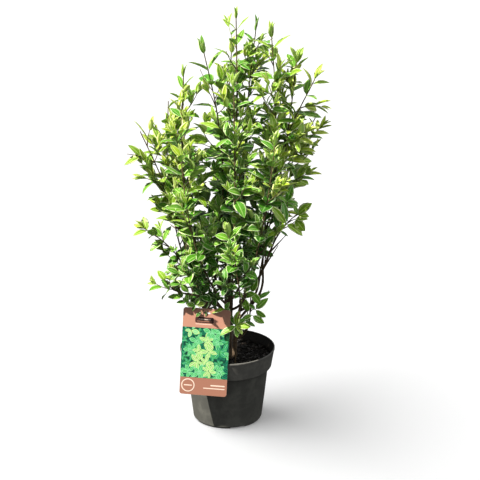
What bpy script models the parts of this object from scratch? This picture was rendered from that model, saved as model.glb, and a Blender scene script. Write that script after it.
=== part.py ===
"""A golden privet, Ligustrum ovalifolium, in a round nursery pot, with a picture label hung on a low bough.

Units are metres, +Z is up, and the origin is the centre of the pot's flat underside. -Y is the front.
The shrub is a clump of five stems. Boughs fork off the stems, and every stem and bough ends in a mass
of foliage: a leader with side twigs, all set with opposite pairs of leaves by one seeded rule.
"""

import math
import random

import bmesh
import bpy
import numpy as np
from mathutils import Matrix, Vector
from mathutils.bvhtree import BVHTree

# The pot: a black blow-moulded nursery container of 19 cm with a deep collar.
POT_HEIGHT = 0.150
RIM_RADIUS = 0.095
COLLAR_HEIGHT = 0.037
COLLAR_FOOT_RADIUS = 0.0885
WALL_TOP_RADIUS = 0.0810
STEP_HEIGHT = 0.007
BASE_RADIUS = 0.0695
BASE_CHAMFER = 0.004
WALL = 0.0016
RIM_BEAD = 0.0024
FLOOR = 0.0020
POT_SIDES = 32
DRAIN_NOTCHES = 4
DRAIN_NOTCH_WIDTH = 0.030
DRAIN_NOTCH_HEIGHT = 0.004
DRAIN_NOTCH_DEPTH = 0.012
DRAIN_FIRST_ANGLE = math.radians(-72)

# The compost that fills it.
SOIL_LEVEL = 0.131
SOIL_GAP = 0.0004
SOIL_BUMP = 0.0022
SOIL_FLAT_RADIUS = 0.048
SOIL_RINGS = (0.060, 0.074)

# The picture label: a thin printed card that leans on the pot's rim and hangs by its strap from a low bough.
CARD_WIDTH = 0.092
CARD_HEIGHT = 0.172
CARD_THICKNESS = 0.0008
CARD_CORNER = 0.005
CARD_CENTRE_X = -0.0425
CARD_CENTRE_Z = 0.173
CARD_YAW = math.radians(5)
CARD_LEAN = math.radians(9)
CARD_ROLL = math.radians(2.4)
CARD_RIM_GAP = 0.0005
SLOT_WIDTH = 0.013
SLOT_HEIGHT = 0.003
SLOT_BELOW_TOP = 0.009
STRAP_WIDTH = 0.008
STRAP_RISE = 0.014
STRAP_LOOP_RADIUS = 0.0085
STRAP_TUCK = 0.004
STRAP_END_BACK = 0.0026
STRAP_STEPS = 8
# Where the bough passes, back and up from the middle of the strap's loop.
STRAP_HOLD = (-0.0020, 0.0015)

# The plant's wood.
GAP = 0.0003
LIMB_RINGS = 5
ROOT_FLARE = 1.55
FLARE_HEIGHT = 0.012
FLARE_BEND_HEIGHT = 0.4
FLARE_BEND_RADIUS = 1.18
LIMB_WANDER = 0.0016
BOUGH_WANDER = 0.0008

# Stem name: foot on the soil, tip, radius above the flare, radius at the tip.
STEMS = {
    "stem_centre": ((0.002, 0.001), (0.008, 0.004, 0.335), 0.0048, 0.0030),
    "stem_left": ((-0.014, -0.002), (-0.040, -0.012, 0.288), 0.0042, 0.0026),
    "stem_right": ((0.014, -0.003), (0.046, 0.004, 0.292), 0.0042, 0.0026),
    "stem_back": ((-0.001, 0.016), (-0.004, 0.044, 0.285), 0.0040, 0.0025),
    "stem_front": ((0.006, -0.017), (0.010, -0.044, 0.282), 0.0038, 0.0025),
}

# Bough name: stem that carries it, share of the stem's length where it forks off, tip, radius at its fork.
BOUGHS = {
    "bough_top_left": ("stem_centre", 0.60, (-0.020, -0.006, 0.335), 0.0028),
    "bough_top_mid": ("stem_centre", 0.70, (0.034, 0.012, 0.352), 0.0028),
    "bough_left": ("stem_left", 0.56, (-0.072, 0.006, 0.286), 0.0026),
    "bough_low_left": ("stem_left", 0.60, (-0.074, -0.024, 0.300), 0.0024),
    "bough_far_left": ("stem_left", 0.76, (-0.070, -0.030, 0.322), 0.0024),
    "bough_up_right": ("stem_right", 0.70, (0.048, -0.024, 0.318), 0.0025),
    "bough_right": ("stem_right", 0.58, (0.070, 0.006, 0.318), 0.0026),
    "bough_far_right": ("stem_right", 0.46, (0.066, 0.030, 0.300), 0.0025),
    "bough_long_right": ("stem_right", 0.84, (0.084, -0.034, 0.362), 0.0026),
    "bough_low_right": ("stem_right", 0.20, (0.044, -0.012, 0.216), 0.0022),
    "bough_back_left": ("stem_back", 0.52, (-0.044, 0.062, 0.272), 0.0024),
    "bough_back_right": ("stem_back", 0.62, (0.036, 0.066, 0.282), 0.0024),
    "bough_back": ("stem_back", 0.38, (-0.002, 0.084, 0.246), 0.0023),
    "bough_front_left": ("stem_front", 0.76, (-0.022, -0.072, 0.292), 0.0024),
    "bough_front_right": ("stem_front", 0.70, (0.038, -0.064, 0.290), 0.0024),
    "bough_front": ("stem_front", 0.46, (0.020, -0.080, 0.238), 0.0022),
    "bough_low_front": ("stem_left", 0.42, (-0.048, -0.046, 0.254), 0.0022),
    "bough_label": ("stem_front", 0.58, (-0.080, -0.080, 0.290), 0.0023),
}
BOUGH_TIP_SHARE = 0.8
BOUGH_RISE = 0.75
# The label hangs on this bough, so it passes through the strap's loop.
LABEL_BOUGH = "bough_label"

# The foliage. A mass is a leader that goes on from a limb's tip, with side twigs and pairs of leaves.
# Mass name: limb it stands on, tip of its leader, side twigs, reach of its longest side twig.
MASSES = {
    "mass_top_centre": ("stem_centre", (0.018, 0.002, 0.796), 6, 0.075),
    "mass_top_left": ("bough_top_left", (-0.041, -0.012, 0.737), 6, 0.070),
    "mass_top_mid": ("bough_top_mid", (0.054, 0.024, 0.770), 6, 0.075),
    "mass_top_right": ("bough_up_right", (0.084, -0.028, 0.764), 6, 0.075),
    "mass_left_leader": ("stem_left", (-0.080, -0.028, 0.690), 6, 0.080),
    "mass_left": ("bough_left", (-0.112, 0.026, 0.632), 6, 0.075),
    "mass_far_left": ("bough_far_left", (-0.158, -0.036, 0.588), 6, 0.058),
    "mass_low_left": ("bough_low_left", (-0.152, -0.024, 0.398), 3, 0.045),
    "mass_right_leader": ("stem_right", (0.130, 0.014, 0.708), 6, 0.080),
    "mass_right": ("bough_right", (0.160, -0.022, 0.684), 6, 0.080),
    "mass_far_right": ("bough_far_right", (0.166, 0.034, 0.600), 5, 0.075),
    "mass_long_right": ("bough_long_right", (0.138, -0.046, 0.442), 3, 0.050),
    "mass_low_right": ("bough_low_right", (0.060, -0.030, 0.264), 3, 0.044),
    "mass_top_back": ("stem_back", (0.008, 0.074, 0.716), 4, 0.080),
    "mass_back_left": ("bough_back_left", (-0.098, 0.108, 0.566), 4, 0.080),
    "mass_back_right": ("bough_back_right", (0.096, 0.110, 0.586), 4, 0.080),
    "mass_back": ("bough_back", (0.000, 0.148, 0.456), 4, 0.070),
    "mass_top_front": ("stem_front", (0.014, -0.076, 0.676), 5, 0.080),
    "mass_front_left": ("bough_front_left", (-0.082, -0.108, 0.556), 5, 0.075),
    "mass_front_right": ("bough_front_right", (0.088, -0.108, 0.578), 5, 0.075),
    "mass_front": ("bough_front", (0.006, -0.144, 0.418), 5, 0.070),
    "mass_low_front": ("bough_low_front", (-0.040, -0.086, 0.392), 4, 0.056),
    "mass_label": ("bough_label", (-0.114, -0.094, 0.318), 3, 0.044),
}
# A young shoot of the same clump that comes straight out of the compost in front of the stems.
BASAL_SHOOT = "mass_basal_shoot"
BASAL_FOOT = (0.016, -0.062)
BASAL_TIP = (0.018, -0.084, 0.214)
BASAL_RADIUS = 0.0018

LEADER_RADIUS_SHARE = 0.92
LEADER_RINGS = 5
TWIG_RADIUS_SHARE = 0.75
TWIG_TIP_RADIUS = 0.0010
TWIG_RINGS = 3
TWIG_ANGLE = math.radians(50)
TWIG_FIRST = 0.08
TWIG_LAST = 0.88
TWIG_SHORTEN = 0.45
TWIG_LIFT = 0.35
TWIG_REACHES = (1.0, 0.72, 0.5)
TWIG_PLACE_RANGE = (0.2, 0.8)
TWIG_ANGLE_RANGE = (0.85, 1.2)
TWIG_LENGTH_RANGE = (0.8, 1.15)
TURN = math.radians(137.5)

# A leaf: its outline's points as shares of its length and width, and how it sits on its twig.
LEAF_LENGTH = 0.057
LEAF_WIDTH = 0.030
LEAF_THICKNESS = 0.0017
LEAF_SHOULDER = (0.27, 0.47)
LEAF_CHEEK = (0.68, 0.42)
LEAF_MIDDLE = 0.30
LEAF_FOLD = 0.06
LEAF_DROOP = 0.14
LEAF_SINK = 0.0004
LEAF_CLEAR = 0.0002
LEAF_ANGLE = math.radians(55)
LEAF_POSTURES = (1.0, 0.72, 0.5)
TIP_LEAF_SHARE = 0.72
TIP_LEAF_RISE = 0.5
PAIR_SPACING = 0.046
LEAF_FIRST = 0.14
LEADER_FOOT_SPACE = 0.5
TWIG_FOOT_SPACE = 0.2
TIP_SPACE = 0.02
PAIR_TURN_JITTER = 0.3
LEAF_ROLL = 0.5
LEAF_ANGLE_RANGE = (0.8, 1.2)
LEAF_SIZE_RANGE = (0.85, 1.15)
SPACE_MARGIN = 0.0010
GUARD_SHARE = 1.16
GUARD_MARGIN = 0.0012
SEED = 11

# A mass is fused again, without the leaf at fault, while corners nearer than this leave it touching itself.
FUSE_WELD = 0.0000002
MOST_FUSINGS = 6

# Colours, linear, with roughness.
BLACK_PLASTIC = ((0.030, 0.031, 0.032), 0.42)
COMPOST = ((0.030, 0.018, 0.012), 0.95)
PRINTED_CARD = ((0.52, 0.22, 0.14), 0.40)
BARK = ((0.16, 0.11, 0.065), 0.80)
LEAF_GREEN = ((0.17, 0.34, 0.045), 0.45)


def clear_scene():
    """Takes every object out of the file."""
    for old in list(bpy.data.objects):
        bpy.data.objects.remove(old)


def new_collection(name, hidden=False):
    """A collection in the scene, hidden in renders where it only holds helpers."""
    made = bpy.data.collections.new(name)
    made.hide_render = hidden
    bpy.context.scene.collection.children.link(made)
    return made


def principled(name, colour_and_roughness):
    """A plain material with a colour and a roughness."""
    colour, roughness = colour_and_roughness
    material = bpy.data.materials.new(name)
    material.use_nodes = True
    shader = material.node_tree.nodes["Principled BSDF"]
    shader.inputs["Base Color"].default_value = (*colour, 1.0)
    shader.inputs["Roughness"].default_value = roughness
    return material


def new_object(name, data, collection, material=None):
    """An object for this data, with its material."""
    made = bpy.data.objects.new(name, data)
    if material is not None:
        data.materials.append(material)
    collection.objects.link(made)
    return made


def evaluated_mesh(obj):
    """The object's shape with its modifiers applied."""
    graph = bpy.context.evaluated_depsgraph_get()
    return bpy.data.meshes.new_from_object(obj.evaluated_get(graph))


def closed_tube_mesh(tube_object):
    """A curve's mesh as flat triangles that point out, with its loose caps welded on."""
    mesh = evaluated_mesh(tube_object)
    work = bmesh.new()
    work.from_mesh(mesh)
    bmesh.ops.remove_doubles(work, verts=work.verts, dist=1e-6)
    bmesh.ops.triangulate(work, faces=work.faces)
    bmesh.ops.recalc_face_normals(work, faces=work.faces)
    work.to_mesh(mesh)
    work.free()
    return mesh


def keep_main_body(mesh):
    """Keeps only the largest closed surface: a sealed hollow is filled, and a loose scrap is dropped."""
    work = bmesh.new()
    work.from_mesh(mesh)
    bmesh.ops.triangulate(work, faces=work.faces, ngon_method="EAR_CLIP")
    unseen = set(work.faces)
    largest = []
    while unseen:
        reached = [unseen.pop()]
        for face in reached:
            for edge in face.edges:
                for other in edge.link_faces if len(edge.link_faces) == 2 else ():
                    if other in unseen:
                        unseen.remove(other)
                        reached.append(other)
        if len(reached) > len(largest):
            largest = reached
    kept = set(largest)
    bmesh.ops.delete(work, geom=[face for face in work.faces if face not in kept], context="FACES")
    work.to_mesh(mesh)
    work.free()


def curved_line(foot, handle, tip, count):
    """Points on the quadratic curve from foot to tip that is pulled towards handle."""
    points = []
    for step in range(count):
        t = step / (count - 1)
        points.append(foot * (1 - t) ** 2 + handle * 2 * t * (1 - t) + tip * t**2)
    return points


def bent_line(foot, tip, leave, count):
    """Points on a curve from foot to tip that sets out along leave and turns evenly to its tip."""
    return curved_line(foot, foot + leave.normalized() * (tip - foot).length * 0.5, tip, count)


def along(points, share):
    """The point at that share of a line's length, and the line's direction there."""
    lengths = [(b - a).length for a, b in zip(points, points[1:])]
    left = share * sum(lengths)
    for a, b, length in zip(points, points[1:], lengths):
        if left <= length or b is points[-1]:
            return a.lerp(b, min(1.0, left / length)), (b - a).normalized()
        left -= length


def tube(name, points, radii, collection, material, profile=None):
    """A tapering tube on these points: round with six sides, or with the sides of the profile curve."""
    curve = bpy.data.curves.new(name, "CURVE")
    curve.dimensions = "3D"
    curve.use_fill_caps = True
    if profile is None:
        curve.bevel_depth = 1.0
        curve.bevel_resolution = 1
    else:
        curve.bevel_mode = "OBJECT"
        curve.bevel_object = profile
    spline = curve.splines.new("POLY")
    spline.points.add(len(points) - 1)
    for place, point, radius in zip(spline.points, points, radii):
        place.co = (*point, 1.0)
        place.radius = radius
    return new_object(name, curve, collection, material)


def guard_of(points, radii):
    """A search tree of a six-sided tube a little thicker than this limb, which foliage keeps out of."""
    corners, faces = [], []
    for place, (point, radius) in enumerate(zip(points, radii)):
        ahead = points[min(place + 1, len(points) - 1)] - points[max(place - 1, 0)]
        side = ahead.cross(Vector((0.3, 1.0, 0.2))).normalized()
        other = ahead.cross(side).normalized()
        for corner in range(6):
            angle = corner * math.tau / 6
            around = side * math.cos(angle) + other * math.sin(angle)
            corners.append(point + around * (radius * GUARD_SHARE + GUARD_MARGIN))
    for ring in range(len(points) - 1):
        for corner in range(6):
            a = ring * 6 + corner
            b = ring * 6 + (corner + 1) % 6
            faces.append((a, b, b + 6, a + 6))
    return BVHTree.FromPolygons(corners, faces)


def turned(name, profile, collection, material):
    """A round solid from its profile, in radius and height, which starts and ends on the axis."""
    mesh = bpy.data.meshes.new(name)
    points = [(radius, 0.0, height) for radius, height in profile]
    mesh.from_pydata(points, [(i, i + 1) for i in range(len(points) - 1)], [])
    made = new_object(name, mesh, collection, material)
    screw = made.modifiers.new("Turn", "SCREW")
    screw.steps = POT_SIDES
    screw.render_steps = POT_SIDES
    screw.use_merge_vertices = True
    screw.merge_threshold = 0.00005
    screw.use_smooth_shade = True
    return made


def wall_radius(height):
    """The outer radius of the pot's body at this height, under the collar."""
    top = POT_HEIGHT - COLLAR_HEIGHT - STEP_HEIGHT
    share = (height - BASE_CHAMFER) / (top - BASE_CHAMFER)
    return BASE_RADIUS + (WALL_TOP_RADIUS - BASE_RADIUS) * share


def build_pot(parts, cutters, material):
    """The pot: floor, tapering wall, step, collar and beaded rim, with notches that drain it."""
    collar_foot = POT_HEIGHT - COLLAR_HEIGHT
    wall_top = collar_foot - STEP_HEIGHT
    bead_foot = POT_HEIGHT - 2 * RIM_BEAD
    profile = [
        (0.0, FLOOR),
        (wall_radius(FLOOR) - WALL, FLOOR),
        (wall_radius(wall_top) - WALL, wall_top),
        (COLLAR_FOOT_RADIUS - WALL, collar_foot),
        (RIM_RADIUS - RIM_BEAD, bead_foot),
        (RIM_RADIUS - RIM_BEAD, POT_HEIGHT - 0.3 * RIM_BEAD),
        (RIM_RADIUS - 0.5 * RIM_BEAD, POT_HEIGHT),
        (RIM_RADIUS, POT_HEIGHT - 0.5 * RIM_BEAD),
        (RIM_RADIUS - 0.2 * RIM_BEAD, bead_foot),
        (COLLAR_FOOT_RADIUS, collar_foot),
        (COLLAR_FOOT_RADIUS - 0.2 * WALL, collar_foot - WALL),
        (WALL_TOP_RADIUS, wall_top),
        (BASE_RADIUS, BASE_CHAMFER),
        (BASE_RADIUS - 0.6 * BASE_CHAMFER, 0.0),
        (0.0, 0.0),
    ]
    pot = turned("pot", profile, parts, material)
    for place in range(DRAIN_NOTCHES):
        angle = DRAIN_FIRST_ANGLE + place * math.tau / DRAIN_NOTCHES
        mesh = bpy.data.meshes.new("drain_notch")
        work = bmesh.new()
        bmesh.ops.create_cube(work, size=1.0)
        work.to_mesh(mesh)
        work.free()
        cutter = new_object(f"drain_notch_{place}", mesh, cutters)
        cutter.scale = (DRAIN_NOTCH_DEPTH, DRAIN_NOTCH_WIDTH, 2 * DRAIN_NOTCH_HEIGHT)
        cutter.rotation_euler = (0.0, 0.0, angle)
        cutter.location = (BASE_RADIUS * math.cos(angle), BASE_RADIUS * math.sin(angle), 0.0)
        cutter.hide_render = True
        cutter.display_type = "WIRE"
    cut = pot.modifiers.new("Drain notches", "BOOLEAN")
    cut.operand_type = "COLLECTION"
    cut.collection = cutters
    cut.operation = "DIFFERENCE"
    cut.solver = "EXACT"


def build_soil(parts, material):
    """The compost: it fills the pot with a small gap, and its top is lumpy away from the stems."""
    rng = random.Random(f"{SEED} soil")
    floor = FLOOR + SOIL_GAP
    collar_foot = POT_HEIGHT - COLLAR_HEIGHT
    wall_top = collar_foot - STEP_HEIGHT
    slope = (RIM_RADIUS - RIM_BEAD - COLLAR_FOOT_RADIUS + WALL) / (COLLAR_HEIGHT - 2 * RIM_BEAD)
    top_radius = COLLAR_FOOT_RADIUS - WALL + slope * (SOIL_LEVEL - SOIL_BUMP - collar_foot) - SOIL_GAP
    profile = [
        (0.0, SOIL_LEVEL),
        (SOIL_FLAT_RADIUS, SOIL_LEVEL),
        *((radius, SOIL_LEVEL) for radius in SOIL_RINGS),
        (top_radius, SOIL_LEVEL - SOIL_BUMP),
        (COLLAR_FOOT_RADIUS - WALL - SOIL_GAP, collar_foot),
        (wall_radius(wall_top) - WALL - SOIL_GAP, wall_top),
        (wall_radius(floor) - WALL - SOIL_GAP, floor),
        (0.0, floor),
    ]
    soil = turned("compost", profile, parts, material)
    soil.data = evaluated_mesh(soil)
    soil.modifiers.clear()
    for vertex in soil.data.vertices:
        outside = vertex.co.xy.length > SOIL_FLAT_RADIUS * 1.05
        if outside and vertex.co.z > SOIL_LEVEL - 0.0001:
            vertex.co.z += rng.uniform(-SOIL_BUMP, SOIL_BUMP)


def card_frame():
    """The label's axes: across, up the card and out of its face, with the card's centre as origin."""
    turn = Matrix.Rotation(-CARD_YAW, 4, "Z") @ Matrix.Rotation(-CARD_LEAN, 4, "X")
    turn = turn @ Matrix.Rotation(CARD_ROLL, 4, "Y")
    face = turn @ Vector((0, -1, 0))
    at_rim = POT_HEIGHT - 0.5 * RIM_BEAD
    flat = math.hypot(face.x, face.y)
    rim_point = Vector((face.x, face.y, 0)) / flat * RIM_RADIUS
    rim_point.z = at_rim
    reach = rim_point.dot(face) + CARD_RIM_GAP + CARD_THICKNESS / 2
    centre = Vector((CARD_CENTRE_X, 0.0, CARD_CENTRE_Z))
    centre.y = (reach - centre.x * face.x - centre.z * face.z) / face.y
    return Matrix.Translation(centre) @ turn


def rounded_box(width, height, corner, steps=3):
    """Corners of a rectangle round the origin with round corners, anticlockwise."""
    points = []
    for quarter in range(4):
        sign_x = (1, -1, -1, 1)[quarter]
        sign_y = (1, 1, -1, -1)[quarter]
        for step in range(steps + 1):
            angle = (quarter + step / steps) * math.pi / 2
            x = sign_x * (width / 2 - corner) + corner * math.cos(angle)
            y = sign_y * (height / 2 - corner) + corner * math.sin(angle)
            points.append((x, y))
    return points


def build_card(parts, frame, material):
    """The printed card: a thin plate with round corners and a slot that takes the strap's end."""
    curve = bpy.data.curves.new("label_card", "CURVE")
    curve.dimensions = "2D"
    curve.fill_mode = "BOTH"
    curve.extrude = CARD_THICKNESS / 2
    slot_y = CARD_HEIGHT / 2 - SLOT_BELOW_TOP
    outline = rounded_box(CARD_WIDTH, CARD_HEIGHT, CARD_CORNER)
    slot = [(x, y + slot_y) for x, y in rounded_box(SLOT_WIDTH, SLOT_HEIGHT, 0.45 * SLOT_HEIGHT, 2)]
    for points in (outline, slot):
        spline = curve.splines.new("POLY")
        spline.points.add(len(points) - 1)
        spline.use_cyclic_u = True
        for place, (x, y) in zip(spline.points, points):
            place.co = (x, y, 0.0, 1.0)
    card = new_object("label_card", curve, parts, material)
    card.matrix_world = frame @ Matrix.Rotation(math.pi / 2, 4, "X")


def strap_line():
    """The strap's path, back and up: up from the card, over the bough, and down behind it."""
    top = CARD_HEIGHT / 2 + GAP
    loop = top + STRAP_RISE
    points = [(0.0, top), (0.0, top + 0.5 * STRAP_RISE)]
    for step in range(STRAP_STEPS + 1):
        angle = step / STRAP_STEPS * math.pi
        back = STRAP_LOOP_RADIUS * (1 - math.cos(angle))
        points.append((back, loop + STRAP_LOOP_RADIUS * math.sin(angle)))
    points.append((1.2 * STRAP_LOOP_RADIUS, top + 0.35 * STRAP_RISE))
    points.append((STRAP_END_BACK, CARD_HEIGHT / 2 - STRAP_TUCK))
    return points


def build_strap(parts, frame, material):
    """The strap: a flat tongue of the card's own plastic that hooks over the bough."""
    mesh = bpy.data.meshes.new("label_strap")
    half = STRAP_WIDTH / 2
    line = strap_line()
    points = [(side * half, back, up) for back, up in line for side in (-1, 1)]
    faces = [(2 * i, 2 * i + 2, 2 * i + 3, 2 * i + 1) for i in range(len(line) - 1)]
    mesh.from_pydata(points, [], faces)
    strap = new_object("label_strap", mesh, parts, material)
    strap.matrix_world = frame
    shell = strap.modifiers.new("Thickness", "SOLIDIFY")
    shell.thickness = CARD_THICKNESS
    shell.offset = 0.0


def wandering(points, rng, amount):
    """The same points, with all but the two ends moved a little aside."""
    moved = [points[0]]
    for point in points[1:-1]:
        aside = Vector((rng.uniform(-1, 1), rng.uniform(-1, 1), 0)) * amount
        moved.append(point + aside)
    return moved + [points[-1]]


def stem_shape(name):
    """Points and radii of one stem: a flat foot with a root flare, then an even taper to its tip."""
    foot, tip, radius, tip_radius = STEMS[name]
    rng = random.Random(f"{SEED} {name}")
    ground = Vector((*foot, SOIL_LEVEL + GAP))
    above_flare = ground + Vector((0, 0, FLARE_HEIGHT))
    line = wandering(bent_line(above_flare, Vector(tip), Vector((0, 0, 1)), LIMB_RINGS), rng, LIMB_WANDER)
    radii = [radius + (tip_radius - radius) * i / (LIMB_RINGS - 1) for i in range(LIMB_RINGS)]
    points = [ground, ground + Vector((0, 0, FLARE_BEND_HEIGHT * FLARE_HEIGHT)), *line]
    return points, [radius * ROOT_FLARE, radius * FLARE_BEND_RADIUS, *radii]


def bough_shape(name, limbs, through=None):
    """Points and radii of one bough, which sets out from its stem's surface and turns up to its tip.

    Where a point to pass through is given, the bough's middle is there.
    """
    stem, share, tip, radius = BOUGHS[name]
    rng = random.Random(f"{SEED} {name}")
    points, radii = limbs[stem]
    fork, upward = along(points, share)
    tip = Vector(tip)
    stem_radius = radii[2] + (radii[-1] - radii[2]) * share
    out = tip - fork
    if through is not None:
        out = through * 2 - (fork + tip) / 2 - fork
    sideways = (out - upward * out.dot(upward)).normalized()
    leave = (sideways + upward * BOUGH_RISE).normalized() if through is None else out.normalized()
    slant = abs(leave.dot(sideways))
    start = fork + leave * ((stem_radius * 1.04 + radius * math.sqrt(1 - slant**2) + 2 * GAP) / slant)
    if through is None:
        line = wandering(bent_line(start, tip, leave, LIMB_RINGS), rng, BOUGH_WANDER)
    else:
        line = curved_line(start, through * 2 - (start + tip) / 2, tip, LIMB_RINGS)
    taper = [radius * (1 + (BOUGH_TIP_SHARE - 1) * i / (LIMB_RINGS - 1)) for i in range(LIMB_RINGS)]
    return line, taper


def leaf_shape():
    """One leaf, a unit long and a unit wide: a six-sided outline over a keel of one point below it."""
    mesh = bpy.data.meshes.new("leaf")
    work = bmesh.new()
    bmesh.ops.create_cone(work, cap_ends=True, segments=6, radius1=1.0, radius2=0.0, depth=1.0)
    bmesh.ops.triangulate(work, faces=work.faces)
    for vertex in work.verts:
        side, lengthwise, height = vertex.co
        if height > 0.1:
            vertex.co = (LEAF_MIDDLE, 0.0, -1.0)
        elif abs(side) < 0.1:
            vertex.co = ((1 + round(lengthwise)) / 2, 0.0, 0.0)
        else:
            length, half_width = LEAF_SHOULDER if lengthwise < 0 else LEAF_CHEEK
            vertex.co = (length, math.copysign(half_width, side), 0.0)
    bmesh.ops.recalc_face_normals(work, faces=work.faces)
    work.to_mesh(mesh)
    work.free()
    return mesh


def leaf_corners(shape, matrix, length, width, start):
    """The leaf's corners in the world, folded up along its midrib and drooping, from start onwards."""
    corners = []
    for vertex in shape.vertices:
        x, y, z = vertex.co
        droop = -LEAF_DROOP * length * x * x
        fold = LEAF_FOLD * abs(y) * width * 2
        lengthwise = start + x * (length - start)
        corners.append(matrix @ Vector((lengthwise, y * width, z * LEAF_THICKNESS + droop + fold)))
    return corners


def leaf_matrix(root, axis, outward, rise, roll):
    """Places a leaf at its root: it leaves the twig on the outward side, at the angle rise from its axis."""
    along_leaf = axis * math.cos(rise) + outward * math.sin(rise)
    across = axis.cross(outward).normalized()
    normal = along_leaf.cross(across).normalized()
    if normal.dot(axis) < 0:
        normal = -normal
        across = -across
    across = normal.cross(along_leaf).normalized()
    placed = Matrix((along_leaf, across, normal)).transposed().to_4x4()
    return Matrix.Translation(root) @ placed @ Matrix.Rotation(roll, 4, "X")


def perpendicular(axis):
    """Any direction across this axis."""
    return axis.cross(Vector((0.31, 0.87, 0.38))).normalized()


def turned_about(direction, axis, angle):
    """The direction turned about the axis."""
    return Matrix.Rotation(angle, 3, axis) @ direction


def tapered(radius, tip_radius, rings):
    """Radii that go evenly from the first to the last."""
    return [radius + (tip_radius - radius) * ring / (rings - 1) for ring in range(rings)]


def side_twig(root, set_out, length, radius):
    """One side twig of this length, which sets out one way and lifts towards its tip, as (points, radii)."""
    tip = root + (set_out + Vector((0, 0, TWIG_LIFT))).normalized() * length
    radii = tapered(radius, min(radius, TWIG_TIP_RADIUS), TWIG_RINGS)
    return bent_line(root, tip, set_out, TWIG_RINGS), radii


def side_twigs(name, leader, foot_radius, count, reach, leaders, guards):
    """The side twigs of one mass, spiralling up its leader and shorter towards its tip.

    One that would leave the mass's space or meet the wood is tried shorter, and then left out.
    """
    rng = random.Random(f"{SEED} {name} twigs")
    others = joined(leaders, name)
    around = rng.uniform(0, math.tau)
    kept = []
    for place in range(count):
        share = TWIG_FIRST + (TWIG_LAST - TWIG_FIRST) * (place + rng.uniform(*TWIG_PLACE_RANGE)) / count
        root, axis = along(leader, share)
        around += TURN
        outward = turned_about(perpendicular(axis), axis, around)
        angle = TWIG_ANGLE * rng.uniform(*TWIG_ANGLE_RANGE)
        set_out = axis * math.cos(angle) + outward * math.sin(angle)
        length = reach * (1 - TWIG_SHORTEN * share) * rng.uniform(*TWIG_LENGTH_RANGE)
        radius = (foot_radius + (TWIG_TIP_RADIUS - foot_radius) * share) * TWIG_RADIUS_SHARE
        for shorter in TWIG_REACHES:
            line, radii = side_twig(root, set_out, length * shorter, radius)
            if in_space(line[1:], leaders[name], others) and not meets(guard_of(line, radii), guards):
                kept.append((line, radii))
                break
    return kept


def leaf_places(name, lines):
    """Where a mass's leaves go, in opposite pairs down each twig: (root, axis, outward, rise, roll, size)."""
    rng = random.Random(f"{SEED} {name} leaves")
    places = []
    for order, line in enumerate(lines):
        length = sum((b - a).length for a, b in zip(line, line[1:]))
        pairs = max(1, round(length / PAIR_SPACING))
        around = rng.uniform(0, math.tau)
        for pair in range(pairs + 1):
            share = 1 - (pair + TIP_SPACE) / (pairs + (LEADER_FOOT_SPACE if order == 0 else TWIG_FOOT_SPACE))
            if share < LEAF_FIRST:
                continue
            root, axis = along(line, share)
            around += math.pi / 2 + rng.uniform(-PAIR_TURN_JITTER, PAIR_TURN_JITTER)
            at_tip = pair == 0
            for side in (0, math.pi):
                outward = turned_about(perpendicular(axis), axis, around + side)
                rise = LEAF_ANGLE * (TIP_LEAF_RISE if at_tip else 1.0) * rng.uniform(*LEAF_ANGLE_RANGE)
                size = (TIP_LEAF_SHARE if at_tip else 1.0) * rng.uniform(*LEAF_SIZE_RANGE)
                places.append((root, axis, outward, rise, rng.uniform(-LEAF_ROLL, LEAF_ROLL), size))
    return places


def segments(lines):
    """The stretches of these lines, as arrays of their starts and their steps."""
    starts = np.array([point for line in lines for point in line[:-1]])
    ends = np.array([point for line in lines for point in line[1:]])
    return starts, ends - starts


def gaps(points, stretches):
    """The distance from each point to the nearest of these stretches."""
    starts, steps = stretches
    away = np.array(points)[:, None, :] - starts[None, :, :]
    share = np.clip((away * steps).sum(axis=2) / (steps * steps).sum(axis=1), 0.0, 1.0)
    return np.linalg.norm(away - share[..., None] * steps, axis=2).min(axis=1)


def joined(stretches, left_out):
    """All the masses' stretches in one pair of arrays, apart from one mass's own."""
    rest = [pair for name, pair in stretches.items() if name != left_out]
    return np.concatenate([starts for starts, _ in rest]), np.concatenate([steps for _, steps in rest])


def in_space(points, own, others):
    """True if every point is nearer to this mass's own lines than to any other's, with a margin to spare."""
    return bool((gaps(points, own) + SPACE_MARGIN < gaps(points, others)).all())


def meets(tree, others):
    """True if this search tree crosses any of the others."""
    return any(tree.overlap(other) for other in others)


def grow_leaf(place, shape, faces, own, others, guards, grown):
    """The corners of one leaf in the first posture that keeps to its space and crosses nothing, or none.

    The tests leave out its root, which is sunk in its twig and may meet the root of the leaf across from it.
    """
    root, axis, outward, rise, roll, size = place
    for posture in LEAF_POSTURES:
        matrix = leaf_matrix(root, axis, outward, rise * posture, roll)
        length, width = LEAF_LENGTH * size, LEAF_WIDTH * size
        corners = leaf_corners(shape, matrix, length, width, LEAF_CLEAR)
        if not in_space(corners, own, others):
            continue
        tree = BVHTree.FromPolygons(corners, faces)
        if not meets(tree, guards) and not meets(tree, grown):
            grown.append(tree)
            return leaf_corners(shape, matrix, length, width, -LEAF_SINK)
    return None


def twig_mesh(line, radii, profile, guides):
    """The closed mesh of one three-sided twig."""
    twig = tube("twig", line, radii, guides, None, profile)
    mesh = closed_tube_mesh(twig)
    bpy.data.objects.remove(twig)
    return mesh


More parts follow.
